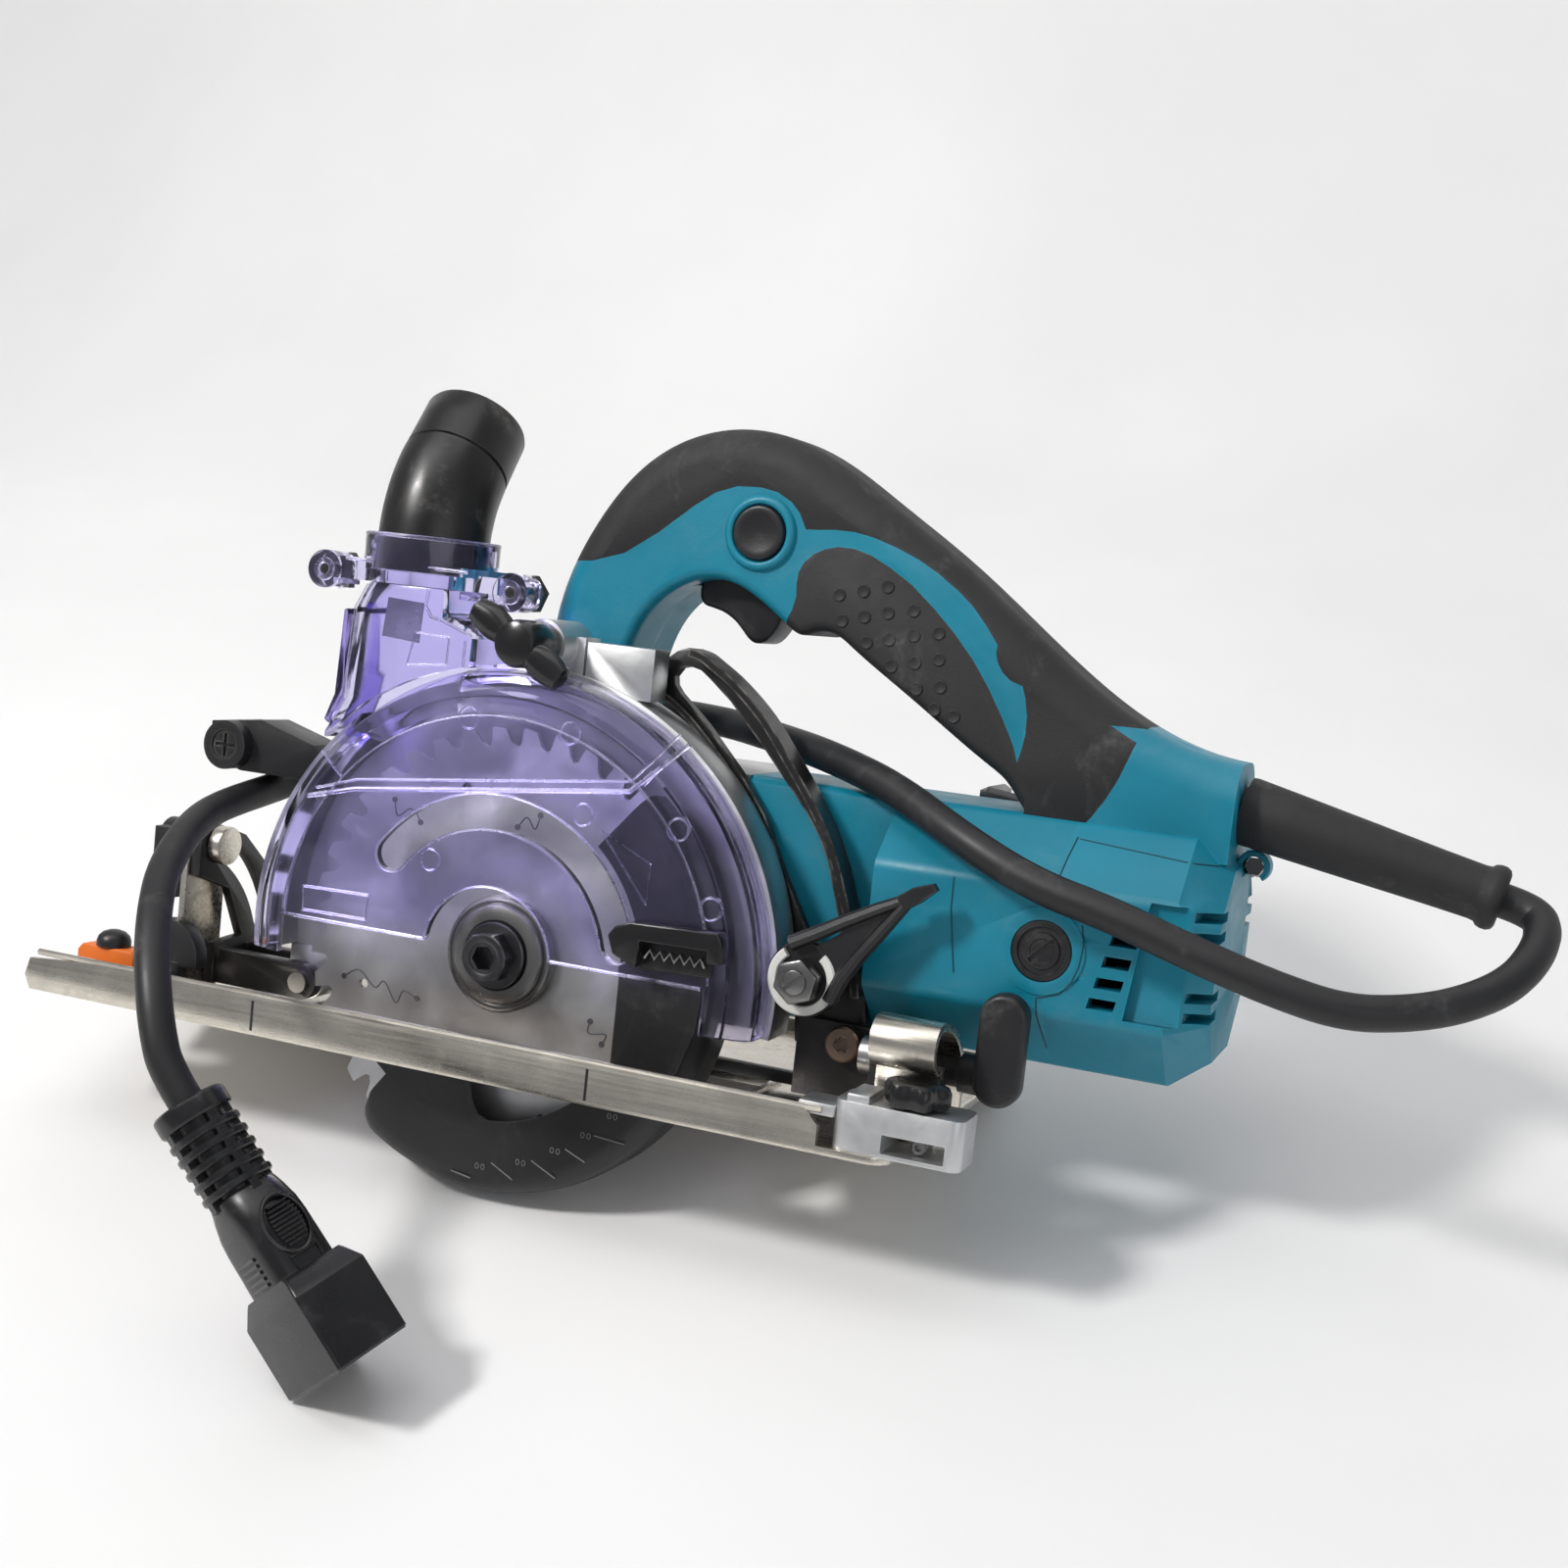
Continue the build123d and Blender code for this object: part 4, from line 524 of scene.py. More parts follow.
# duct pocket and edge ridges drawn in the pale clear material as painted highlight lines
extra("duct_ribs", pock, "saw_body", VIOLET_HIGHLIGHT)
FOIL = metal("foil", (0.72, 0.71, 0.73), 0.22, grime=0.3, bumps=0.12)
extra("duct_foil", Geo().prism([(-41.4, 123.0), (-30.2, 122.4), (-30.8, 111.6), (-42.4, 112.4)], -8.2, -8.0), "saw_body", FOIL)
swap("duct_collar", clean("duct_collar", 0.7, 3, 30.0), [VIOLET], 30.0)
ear = Geo()
for ex, ez in ((-60.5, 129.0), (-2.5, 128.0)):
    ear.lathe([(1.7, -12.9), (3.0, -12.9), (3.2, -12.5), (3.2, -11.9), (1.7, -11.9)], (ex, ez), 32)
ear.tube([(-35.2 + 18.0 * cos(2 * pi * i / 64), 1.5 + 18.0 * sin(2 * pi * i / 64), 140.0) for i in range(64)], 0.55, 8, True)
ear.tube(face([(-54, 132.6), (-16, 132.0)], -12.0), 0.5)
# ear rings, collar top ring and collar ridge drawn in the pale clear material as painted highlights
extra("collar_edges", ear, "saw_body", VIOLET_HIGHLIGHT)
N["case_screws"].data.materials[0] = BLACKMETAL

# ------------------------------------------------------------------ dust nozzle
def nozzle_ring(s, r, n=72):
    if s < 6.7:
        c, t = Vector((-35.2, 1.5, 130.6 + s)), 0.0
    else:
        t = min((s - 6.7) / 38.7, radians(36))
        over = max(0.0, s - 6.7 - 38.7 * radians(36))
        c = Vector((-35.2, 1.5 + 38.7 * (1 - cos(t)) + over * sin(t), 137.3 + 38.7 * sin(t) + over * cos(t)))
    e1, e2 = Vector((1, 0, 0)), Vector((0, cos(t), -sin(t)))
    return [tuple(c + (e1 * cos(2 * pi * j / n) + e2 * sin(2 * pi * j / n)) * r) for j in range(n)]


NOZ = plastic("nozzle_black", srgb(22, 21, 21), 0.30, 0.05, 1500.0, 0.55, dustcol=(0.30, 0.28, 0.25, 1), wear=0.2, wearcol=(0.2, 0.2, 0.2, 1))
prof = [(0.1, 15.85), (6.0, 15.8), (7.4, 15.45)] + [(9 + 2.2 * i, 15.3 - 0.02 * i) for i in range(10)] + [(31.0, 15.05), (31.3, 14.4), (32.0, 14.4), (32.3, 14.95), (40, 14.8), (46.8, 14.7), (47.7, 14.3), (47.95, 13.4),
        (47.6, 12.6), (46.5, 12.4), (36, 12.4), (28, 12.5), (20, 12.6), (13, 12.6), (7, 12.7), (0.1, 12.8)]
swap("dust_nozzle", Geo().loft([nozzle_ring(*q) for q in prof], wrap=True).mesh("nozzle"), NOZ, 40.0)

# ------------------------------------------------------------------ blade, flange, bolt
# flat grey for the blade's expansion slots: painted shade standing in for the see-through cuts
BLADE_SLOT_SHADE = plastic("blade_slot_shade", srgb(70, 70, 74), 0.6, 0.0, 1500.0, 0.0, wear=0.0)
DARKSTEEL = metal("dark_steel", (0.27, 0.265, 0.26), 0.30, grime=0.55, grimecol=(0.03, 0.027, 0.025, 1), bumps=0.12)
BLACKOX = metal("black_oxide", (0.10, 0.10, 0.105), 0.30, grime=0.3, grimecol=(0.3, 0.29, 0.28, 1), bumps=0.1)


def wavy(pts, n=7):
    out = []
    P = [pts[0]] + pts + [pts[-1]]
    for i in range(1, len(P) - 2):
        for j in range(n):
            t = j / n
            out.append(tuple(0.5 * ((2 * P[i][c]) + (P[i + 1][c] - P[i - 1][c]) * t + (2 * P[i - 1][c] - 5 * P[i][c] + 4 * P[i + 1][c] - P[i + 2][c]) * t * t
                                    + (3 * P[i][c] - P[i - 1][c] - 3 * P[i + 1][c] + P[i + 2][c]) * t ** 3) for c in (0, 1)))
    return out + [pts[-1]]


# wavy slots and their end holes drawn as grey tubes and dots on the blade face: painted shade, not real cuts
sq = Geo()
for pts in ([(-50.2, 15.2), (-45.4, 17.7), (-39.9, 13.7), (-37, 15.8), (-32.7, 10.5), (-30.6, 14.2), (-26.1, 12.8)], [(0.3, 64.9), (2.9, 67.9), (5.6, 65.1), (6.9, 69)],
            [(27.8, 15.8), (27.6, 12.6), (32.7, 13), (31.8, 10.2)], [(-30.0, 62.0), (-33.0, 65.5), (-37.0, 63.0), (-38.5, 67.5)]):
    w_ = wavy(pts)
    sq.tube(face(w_, -0.62), 0.24, 6)
    for x, z in (w_[0], w_[-1]):
        sq.prism(circle(x, z, 0.85, 16), -0.86, -0.5)
extra("blade_slots", sq, "spindle_line", BLADE_SLOT_SHADE)
swap("outer_flange", Geo().lathe([(6.2, -0.72), (16, -0.72), (16, -3.8), (15.6, -4.3), (14.9, -4.5), (14.6, -4.2), (14.2, -4.2), (13.9, -4.9), (13.2, -5.6), (11.8, -6), (9.8, -6), (9.2, -5.6),
                                  (6.2, -5.6)], n=96).mesh("flange"), DARKSTEEL, 25.0)
hexa = lambda r, c, a=8: [(c[0] + r * cos(radians(a + 60 * i)), c[1] + r * sin(radians(a + 60 * i))) for i in range(6)]
bolt = Geo().lathe([(5.8, -5.62), (9.0, -5.62), (9.2, -5.9), (9.2, -6.9), (8.8, -7.3), (5.8, -7.5)], n=64)
head = boolean(Geo().prism(hexa(7.1, (0, 30)), -12.4, -5.7).mesh("head", 0.5), [Geo().prism(hexa(3.5, (0, 30)), -20, -8.2, k=1).mesh("cut")])
bolt_o = swap("blade_bolt", head, [BLACKOX, BLACK], 25.0)
extra("bolt_washer", bolt, "spindle_line", BLACKOX, angle=25.0)
extra("flange_bolt_ring", Geo().lathe([(6.0, -7.2), (6.6, -12.3), (6.2, -12.75), (5.0, -12.85), (4.3, -12.6), (4.2, -12.0), (5.0, -11.0), (5.0, -7.2)], n=48), "spindle_line", BLACKOX, angle=25.0)

# ------------------------------------------------------------------ lower guard with its scale
GUARDM = plastic("guard_black", srgb(26, 26, 28), 0.40, 0.10, 1600.0, 0.16, dustcol=(0.22, 0.22, 0.22, 1), wear=0.25, wearcol=(0.10, 0.10, 0.10, 1))
gp = [(45, -8.5), (59.2, -8.5), (62.0, -8.0), (64.0, -6.8), (65.1, -5.0), (65.5, -2.6), (65.5, 7.1), (63.9, 7.1), (63.9, -2.4), (63.3, -4.6), (61.6, -6.4), (59, -7.1), (45, -7.1)]
rings = []
for i in range(126):
    a = -127.6 + 177.4 * i / 125
    d = max(0.0, 1.0 - (a + 127.6) / 7.0)
    s_ = sqrt(max(0.02, 1.0 - d * d))
    rings.append([((45 + (r - 45) * (0.55 + 0.45 * s_)) * cos(radians(a)), y, 30 + (45 + (r - 45) * (0.55 + 0.45 * s_)) * sin(radians(a))) for r, y in gp])
gd = Geo().loft(rings)
gd.lathe([(23, 5.6), (64.2, 5.6), (64.2, 7.08), (23, 7.08)], n=90, a0=-127, a1=50)
gd.prism([(38.5, 45), (38.5, 3), (50, 1), (57.5, 8), (61.6, 20), (62.6, 32), (61.4, 45)], -8.46, -7.1)
gd.lathe([(19.56, 5.6), (24, 5.6), (24, 10.2), (19.56, 10.2)], n=72)
gd.prism([(-2.6, 2.0), (-3.2, -5.4), (-2.1, -10.5), (0.1, -13.8), (4.4, -15.4), (4.4, -17.5), (-8, -17.5), (-24, -12), (-35, -3), (-31, 3)], -8.48, -7.1)
swap("lower_guard", gd.mesh("guard"), GUARDM, 35.0)
CHALK = plastic("chalk_mark", srgb(118, 118, 120), 0.6, 0.0, 1500.0, 0.0, wear=0.0)
tick = Geo()
for a, b in (((-5.9, -30.5), (0.2, -31.4)), ((6.2, -25.9), (13, -29.3)), ((18.2, -22.9), (25.7, -26.3)), ((28, -17.8), (34, -20.2)), ((36, -12.5), (45.1, -13.1))):
    tick.tube([(a[0], -8.5, a[1]), (b[0], -8.5, b[1])], 0.2, 6)
for x, z in ((2.8, -27.6), (15, -24.1), (24.9, -18.9), (33.5, -13), (40.7, -6.4)):
    for dx in (-0.9, 0.9):
        tick.tube(face([(x + dx + 0.55 * cos(t), z + 0.8 * sin(t)) for t in (0, 1.05, 2.1, 3.14, 4.19, 5.24)], -8.5), 0.14, 5, True)
extra("guard_scale", tick, "guard", CHALK)
GLOSS = plastic("gloss_black", srgb(24, 24, 25), 0.20, 0.04, 1500.0, 0.30, dustcol=(0.30, 0.29, 0.28, 1), wear=0.3, wearcol=(0.18, 0.18, 0.18, 1))
lev = Geo().prism([(38.4, 43.2), (40.4, 46.0), (44.5, 47.5), (69.1, 48.4), (70.3, 46.0), (70.5, 40.3), (66.8, 40.2), (66.4, 43.4), (47.5, 43.0), (47, 35.8), (40.2, 38.6)], -18, -13)
lev.box(39.6, 46.6, -13.4, -8.4, 37.4, 43.6)
lev.prism([(46, 35.0), (66.6, 35.8), (66.8, 43.8), (47, 43.6)], -13.9, -13.0)
swap("guard_lever", lev.mesh("lever", 0.7, 3), GLOSS, 40.0)
extra("guard_lever_spring", Geo().tube(face([(48.2 + 1.42 * i, 39.6 + (1.1 if i % 2 else -1.1)) for i in range(13)], -15.2), 0.34, 6), "guard", STEEL)

# ------------------------------------------------------------------ handle
# light grey for the floors of the grip dimples: a painted highlight inside each concave dimple
DIMPLE_HIGHLIGHT = plastic("grip_dimple", srgb(120, 118, 116), 0.7, 0.1, 1900.0, 0.2, wear=0.0)
DIM = [(77.3, 136.8), (84, 138.4), (90.6, 140.2), (78.8, 130), (85, 131.7), (91.4, 133.4), (98.4, 134.7), (86.3, 125), (92.5, 126.4), (99.2, 128.2), (105.9, 129.5), (93.9, 119.5), (100.3, 121.1),
       (106.7, 122.7), (101.5, 114.4), (107.9, 115.6), (107.0, 109.6), (112.4, 108.4)]
swap("handle_grip", clean("handle_grip", 0.5), RUBBER, 30.0)
pim = Geo()
for x, z in DIM:
    pim.lathe([(0.02, 21.95), (0.7, 21.9), (1.25, 21.75), (1.55, 21.62), (1.75, 21.75), (1.8, 22.4), (0.02, 22.4)], (x, z), 20, k=[1, 1, 0, 0, 0, 0, 0])
# dimple floors (material index 1) take the painted highlight grey, walls stay black rubber
extra("grip_dimples", pim, "saw_body", [RUBBER, DIMPLE_HIGHLIGHT])
for n_ in ("handle_left_shell", "handle_right_shell"):
    upgrade(n_, 0.5)
extra("button_ring", Geo().lathe([(7.7, 22.6), (7.7, 21.0), (8.1, 20.5), (8.9, 20.3), (9.7, 20.7), (10.3, 21.6), (10.4, 22.6)], (53, 151), 72), "saw_body", TEAL, angle=50)
swap("lock_off_button", Geo().lathe([(0.02, 20.5), (2.5, 20.4), (5.0, 20.0), (6.4, 19.7), (7.0, 19.9), (7.4, 20.6), (7.4, 30), (0.02, 30)], (53, 151), 72).mesh("button"), BLACK, 40.0)
TRG = [(33.4, 147.0), (33.2, 138.0)] + wavy([(32.8, 134.2), (33.2, 131.8), (34.6, 130.2), (37.2, 129.6), (40.5, 128.7), (43.9, 126.8), (46.5, 124.4), (48.3, 122.5), (49.8, 121.5), (51.3, 121.2),
                                               (53.4, 121.8), (55.3, 123.6), (57.0, 126.3)], 3) + [(58.8, 131.5), (58.0, 137.5), (50.0, 141.0), (41.0, 147.0)]
swap("trigger", boolean(Geo().prism(TRG, 31.0, 45.0).mesh("trigger", 1.3, 3, 40.0), [Geo().prism(circle(36.5, 144.5, 1.6, 24), 20, 60).mesh("cut")]), angle=40.0)

# ------------------------------------------------------------------ motor, rear cover, brush caps, cord guard
upgrade("motor_housing", 0.5)
upgrade("rear_cover", 0.5)
cp = clean("brush_caps")
ys = [v.co.y for v in cp.vertices]
yc = (min(ys) + max(ys)) / 2
fr = [v.co for v in cp.vertices if v.co.y < yc]
bx_, bz_ = (min(q.x for q in fr) + max(q.x for q in fr)) / 2, (min(q.z for q in fr) + max(q.z for q in fr)) / 2
br, by = (max(q.x for q in fr) - min(q.x for q in fr)) / 2, min(ys)
capg = Geo()
for sgn, y0 in ((1, min(ys)), (-1, max(ys))):
    f_ = lambda t: y0 + sgn * t
    capg.lathe([(br, f_(6)), (br, f_(0.5)), (br - 0.5, f_(0)), (br * 0.80, f_(0)), (br * 0.76, f_(0.7)), (br * 0.62, f_(0.7)), (br * 0.58, f_(0.15)), (br * 0.40, f_(0.15)), (br * 0.37, f_(0.5)),
                (0.02, f_(0.5)), (0.02, f_(6))], (bx_, bz_), 72)
capm = boolean(capg.mesh("caps"), [Geo().prism([(bx_ + u * 0.72 - w * 0.70, bz_ + u * 0.70 + w * 0.72) for u, w in ((-br * 0.52, -0.7), (br * 0.52, -0.7), (br * 0.52, 0.7), (-br * 0.52, 0.7))], y - 3, y + (0.9 if y < yc else 3.0), k=0).mesh("cut")
                                   for y in (min(ys),)])
swap("brush_caps", capm, BLACK, 30.0)
CGA, CGB = Vector((181, 38, 94.4)), Vector((252, 38, 79.5))
gx = (CGB - CGA).normalized()
gl_ = (CGB - CGA).length
gs = gx.cross(Vector((0, 1, 0))).normalized()


def sleeve(t, r, n=48, sq=1.0):
    c = CGA + gx * t
    return [tuple(c + Vector((0, 1, 0)) * r * cos(2 * pi * j / n) + gs * r * sq * sin(2 * pi * j / n)) for j in range(n)]


cgp = [(0.2, 5.9), (6.0, 5.9), (6.3, 8.7), (7.4, 8.9), (20, 8.5), (40, 7.8), (56, 7.2), (gl_ - 6.5, 6.95), (gl_ - 5.0, 7.1), (gl_ - 4.2, 7.9), (gl_ - 3.0, 8.25), (gl_ - 1.6, 8.2), (gl_ - 0.5, 7.6), (gl_, 6.6), (gl_, 4.6), (gl_ - 4, 4.5)]
swap("cord_guard", Geo().loft([sleeve(*q) for q in cgp]).mesh("sleeve"), RUBBER, 50.0)
upgrade("hex_wrench", 0.2, mat=BLACKOX)
extra("wrench_leg", Geo().tube([(188.0, 70.0, 75.3), (188.9, 60.0, 76.9), (190.8, 45.0, 78.4), (191.9, 36.4, 79.3)], 2.5, 6), "saw_body", BLACKOX, angle=25)
wc = Geo().lathe([(2.7, 37.6), (3.9, 37.6), (4.3, 38.0), (4.3, 43.6), (3.9, 44.0), (2.7, 44.0)], (191.4, 78.9), 40, -50, 232)
wc.box(184.6, 187.8, 38.6, 43.0, 77.0, 80.6)
extra("wrench_clip", wc, "saw_body", TEAL, angle=35)

# ------------------------------------------------------------------ plug
TAIL = Vector(ROUTE[-1])
pax = Vector((0.6544, -0.2171, -0.7243)).normalized()
pux = Vector((0.6983, -0.1938, 0.6891))
pux = (pux - pax * pux.dot(pax)).normalized()
puy = pax.cross(pux)
PLUGM = Matrix([[pux[i] * 0.001, puy[i] * 0.001, pax[i] * 0.001, TAIL[i]] for i in range(3)] + [[0, 0, 0, 1]])


def rrect(z, w, h, f, n=6):
    out = []
    for cx, cy, a0 in ((w / 2 - f, h / 2 - f, 0), (-w / 2 + f, h / 2 - f, 90), (-w / 2 + f, -h / 2 + f, 180), (w / 2 - f, -h / 2 + f, 270)):
        out += [(cx + f * cos(radians(a0 + 90 * i / n)), cy + f * sin(radians(a0 + 90 * i / n)), z) for i in range(n + 1)]
    return out


PLUGMAT = plastic("plug_black", srgb(20, 20, 22), 0.26, 0.05, 1500.0, 0.20, dustcol=(0.25, 0.25, 0.25, 1), wear=0.3, wearcol=(0.13, 0.13, 0.13, 1))
pg = Geo().lathe([(4.5, 0.0), (8.6, 0.0), (9.2, 0.5), (9.4, 1.2), (9.4, 4.6), (9.0, 5.2), (4.5, 5.2)], (0, 0), 48, axis="z")
pg.lathe([(4.4, 4.0), (6.6, 4.0), (6.6, 28), (4.4, 28)], (0, 0), 48, axis="z")
for k_ in range(5):
    z_ = 7.6 + 3.7 * k_
    pg.lathe([(6.0, z_), (8.8, z_), (9.2, z_ + 0.4), (9.2, z_ + 1.6), (8.8, z_ + 2.0), (6.0, z_ + 2.0)], (0, 0), 48, axis="z")
for a in (0, 90, 180, 270):
    c_, s_ = cos(radians(a)), sin(radians(a))
    pg.add([(c_ * r - s_ * w_, s_ * r + c_ * w_, z) for z in (4.6, 27) for r, w_ in ((6, -1.3), (8.7, -1.3), (8.7, 1.3), (6, 1.3))],
           [(0, 1, 2, 3), (7, 6, 5, 4), (0, 4, 5, 1), (1, 5, 6, 2), (2, 6, 7, 3), (3, 7, 4, 0)])
pg.loft([rrect(25.2, 15.5, 15.0, 6.8), rrect(26.0, 16.6, 16.0, 6.8), rrect(29.0, 18.6, 16.6, 6.4), rrect(33.0, 21.2, 17.0, 6.0), rrect(37, 22.0, 17.0, 5.6), rrect(51, 22.0, 17.0, 5.0)])
pg.loft([rrect(49.0, 22.6, 17.2, 0.9), rrect(50.0, 25.4, 17.6, 0.9), rrect(54.0, 31.0, 20.4, 0.8), rrect(54.6, 31.2, 20.6, 0.8), rrect(73.4, 31.2, 20.6, 0.8), rrect(74.0, 30.4, 19.8, 0.8),
         rrect(74.0, 26.4, 15.8, 1.5), rrect(61.0, 26.2, 15.6, 1.5)])
swap("plug_body", pg.mesh("plug"), PLUGMAT, 32.0, PLUGM)
pd = Geo()
for i in range(10):                       # finger ribs in their oval frame
    z_ = 32.6 + 1.12 * i
    h_ = 3.9 * sqrt(max(0.25, 1.0 - ((i - 4.5) / 6.2) ** 2))
    pd.add([(x, y, z) for x in (9.6, 12.1) for y, z in ((-h_, z_), (h_, z_), (h_, z_ + 0.55), (-h_, z_ + 0.55))],
           [(3, 2, 1, 0), (4, 5, 6, 7), (0, 1, 5, 4), (1, 2, 6, 5), (2, 3, 7, 6), (3, 0, 4, 7)])
pd.tube([(11.05, 5.4 * cos(t), 37.9 + 7.4 * sin(t)) for t in [2 * pi * i / 40 for i in range(40)]], 0.6, 8, True)
pd.tube([(11.0, y, z) for y, z in ((-3.6, 45.6), (3.6, 45.6), (3.6, 49.6), (-3.6, 49.6))], 0.4, 6, True)
for i in range(5):
    z_ = 41.2 + 1.7 * i
    pd.tube([(-4.6, 8.6, z_), (4.6, 8.6, z_)], 0.55, 6)
plug_ribs = put("plug_ribs", pd.mesh("plug_ribs"), "saw_body", PLUGMAT, 35.0, PLUGM)

# ------------------------------------------------------------------ cover knob, bracket, depth guide and lever
wk = Geo().lathe([(3.06, -4.6), (6.0, -4.6), (6.4, -5.2), (6.4, -17.5), (5.6, -19.6), (3.5, -20.4), (0.02, -20.6), (0.02, -14.4), (3.06, -14.4)], (4, 115), 48)
w0 = radians(-31)
for sg in (-1, 1):
    rings = []
    for i in range(13):
        t = 3.0 + 13.5 * i / 12
        hw = 3.0 + 1.6 * sin(pi * i / 12) if i < 12 else 1.2
        hy = 3.2 - 0.4 * i / 12 if i < 12 else 1.2
        c = (4 + sg * t * cos(w0), 115 + sg * t * sin(w0))
        n_ = (-sin(w0), cos(w0))
        rings.append([(c[0] + n_[0] * hw * cos(2 * pi * j / 20), -16.6 + hy * sin(2 * pi * j / 20), c[1] + n_[1] * hw * cos(2 * pi * j / 20)) for j in range(20)])
    wk.loft(rings)
swap("cover_wing_knob", wk.mesh("wing"), GLOSS, 40.0)
upgrade("cord_bracket", 1.0, seg=3)
DG = plastic("guide_black", srgb(28, 27, 27), 0.30, 0.14, 900.0, 0.20, dustcol=(0.32, 0.30, 0.27, 1), wear=1.0, wearcol=(0.34, 0.32, 0.29, 1))
GU = [(100.4, 17.9), (99.0, 32.7), (96.3, 47.4), (91.5, 62.0), (86.7, 73.0), (80.3, 82.9), (72.4, 93.2), (64.5, 102.8), (55.5, 110.7), (48.1, 115.5), (44.5, 117.5), (41.0, 118.3),
      (37.6, 118.2), (34.6, 117.0), (32.1, 115.0), (30.1, 112.6), (26.9, 110.2), (29.8, 105.0), (37.3, 100.8), (46.4, 93.0), (55.9, 82.8), (62.5, 73.3), (66.2, 62.5), (69.5, 54.0),
      (73.0, 45.0), (76.0, 36.5), (79.2, 28.0), (80.4, 16.9)]
GS = [(91.9, 38.7), (89.7, 48.8), (87.4, 57.1), (84.3, 66.4), (81.2, 72.6), (76.4, 79.0), (71.0, 85.0), (63.0, 93.8), (51.9, 105.2), (45.2, 110.6), (42.4, 112.6), (39.4, 113.3),
      (36.5, 112.6), (34.9, 110.2), (35.2, 107.9), (36.9, 105.8), (45.8, 98.1), (56.9, 86.6), (65.0, 76.3), (70.2, 65.6), (75.0, 57.0), (80.4, 47.6), (84.1, 37.3), (85.2, 35.2),
      (87.4, 34.05), (89.8, 34.4), (91.4, 36.0)]
plate = boolean(Geo().prism(GU, 16.0, 19.0).mesh("guide", 0.5), [Geo().prism(GS, 10, 30).mesh("cut"), Geo().prism(circle(96, 20, 3.02, 32), 10, 30).mesh("cut")])
swap("depth_guide", plate, DG, 40.0)


def strip(pts, w, y0, y1):
    """a thin wall along the inside of an open outline."""
    off = []
    for i, p in enumerate(pts):
        a, b = Vector(pts[max(0, i - 1)]), Vector(pts[min(len(pts) - 1, i + 1)])
        d = (b - a).normalized()
        off.append((p[0] - d.y * w, p[1] + d.x * w))
    m = len(pts)
    g = Geo()
    for i in range(m - 1):
        q = [pts[i], pts[i + 1], off[i + 1], off[i]]
        g.add([(x, y, z) for y in (y0, y1) for x, z in q], [(0, 1, 2, 3), (7, 6, 5, 4), (0, 4, 5, 1), (2, 6, 7, 3)] + ([(3, 7, 4, 0)] if i == 0 else []) + ([(1, 5, 6, 2)] if i == m - 2 else []))
    return g


extra("guide_rim", strip(wavy(GU[1:12], 4), 2.2, 10.0, 18.6), "tilt_frame", DG, angle=40)
extra("guide_bead", strip(wavy(GU[17:25], 4), 1.8, 14.6, 18.6), "tilt_frame", DG, angle=40)
upgrade("rear_bracket", 0.4)
upgrade("front_bracket", 0.4)
upgrade("blade_case", 0.4, mat=ALU)
swap("lever_washer", Geo().lathe([(6.9, -3.7), (6.9, -5.0), (7.2, -5.3), (8.9, -5.3), (9.3, -4.9), (9.3, -3.7)], (88, 38), 64, 128, 412).mesh("washer"), WHITE, 40.0)
lever = Geo().prism([(91.0, 47.0), (97.0, 39.5), (102.6, 47.4), (113.2, 60.6), (112.2, 62.0), (100.4, 54.0)], -4.6, -2.2)
lever.tube(face([(84.2, 46.9), (90.6, 50.4), (98.6, 55.0), (106.4, 59.2), (113.4, 62.7)], -4.6), [2.2, 2.1, 1.9, 1.8, 1.5], 10)
lever.tube(face([(96.2, 33.6), (98.8, 40.2), (103.0, 46.8), (108.6, 54.6), (113.4, 61.2)], -4.6), [2.2, 2.1, 1.9, 1.8, 1.5], 10)
lever.loft([[(111.2 + u, y, 60.2 + w) for u, y, w in q] for q in (((0, -7.0, 3.0), (2.8, -7.0, 0.0), (2.8, -2.4, 0.0), (0, -2.4, 3.0)), ((4.2, -7.2, 6.0), (6.6, -7.2, 2.6), (6.6, -3.0, 2.6), (4.2, -3.0, 6.0)),
                                                                  ((9.0, -6.2, 7.6), (10.2, -6.2, 6.0), (10.2, -3.6, 6.0), (9.0, -3.6, 7.6)))])
lever.lathe([(4.2, -3.6), (9.6, -3.6), (10.0, -3.1), (10.0, 0.6), (9.4, 1.0), (7.6, 1.0), (7.6, 9.2), (7.2, 9.5), (4.9, 9.5), (4.9, 12.9), (4.2, 12.9)], (88, 38), 56)
swap("depth_lever", lever.mesh("depth_lever"), BLACK, 35.0)
nut = boolean(Geo().prism(hexa(6.2, (88, 38), 20), -10.2, -5.4).mesh("nut", 0.6), [Geo().prism(circle(88, 38, 3.3, 32), -20, -9.0, k=0).mesh("cut")])
stud = boolean(Geo().prism(circle(88, 38, 3.2, 32), -10.9, -7.0).mesh("stud", 0.3), [Geo().prism([(85, 36.2), (85.8, 35.4), (91, 39.8), (90.2, 40.6)], -20, -10.2, k=0).mesh("cut")])
shank = Geo().lathe([(0.02, -8.0), (2.9, -8.0), (2.9, 12.9), (2.6, 13.2), (2.6, 15.4), (2.9, 15.7), (2.9, 26.3), (2.3, 27.0), (0.02, 27.0)], (88, 38), 32)
swap("depth_bolt", nut, DARKSTEEL, 25.0)
extra("depth_stud", stud, BODY["depth_bolt"], DARKSTEEL, angle=25)
extra("depth_shank", shank, BODY["depth_bolt"], STEEL)
# strip of the case above the guide
extra("case_tail", Geo().prism([(26.0, 109.8), (26.6, 112.0), (19.4, 113.2), (8.7, 114.4), (8.9, 112.6), (17.0, 110.9)], 13.2, 15.6), "saw_body", DG, 0.4)

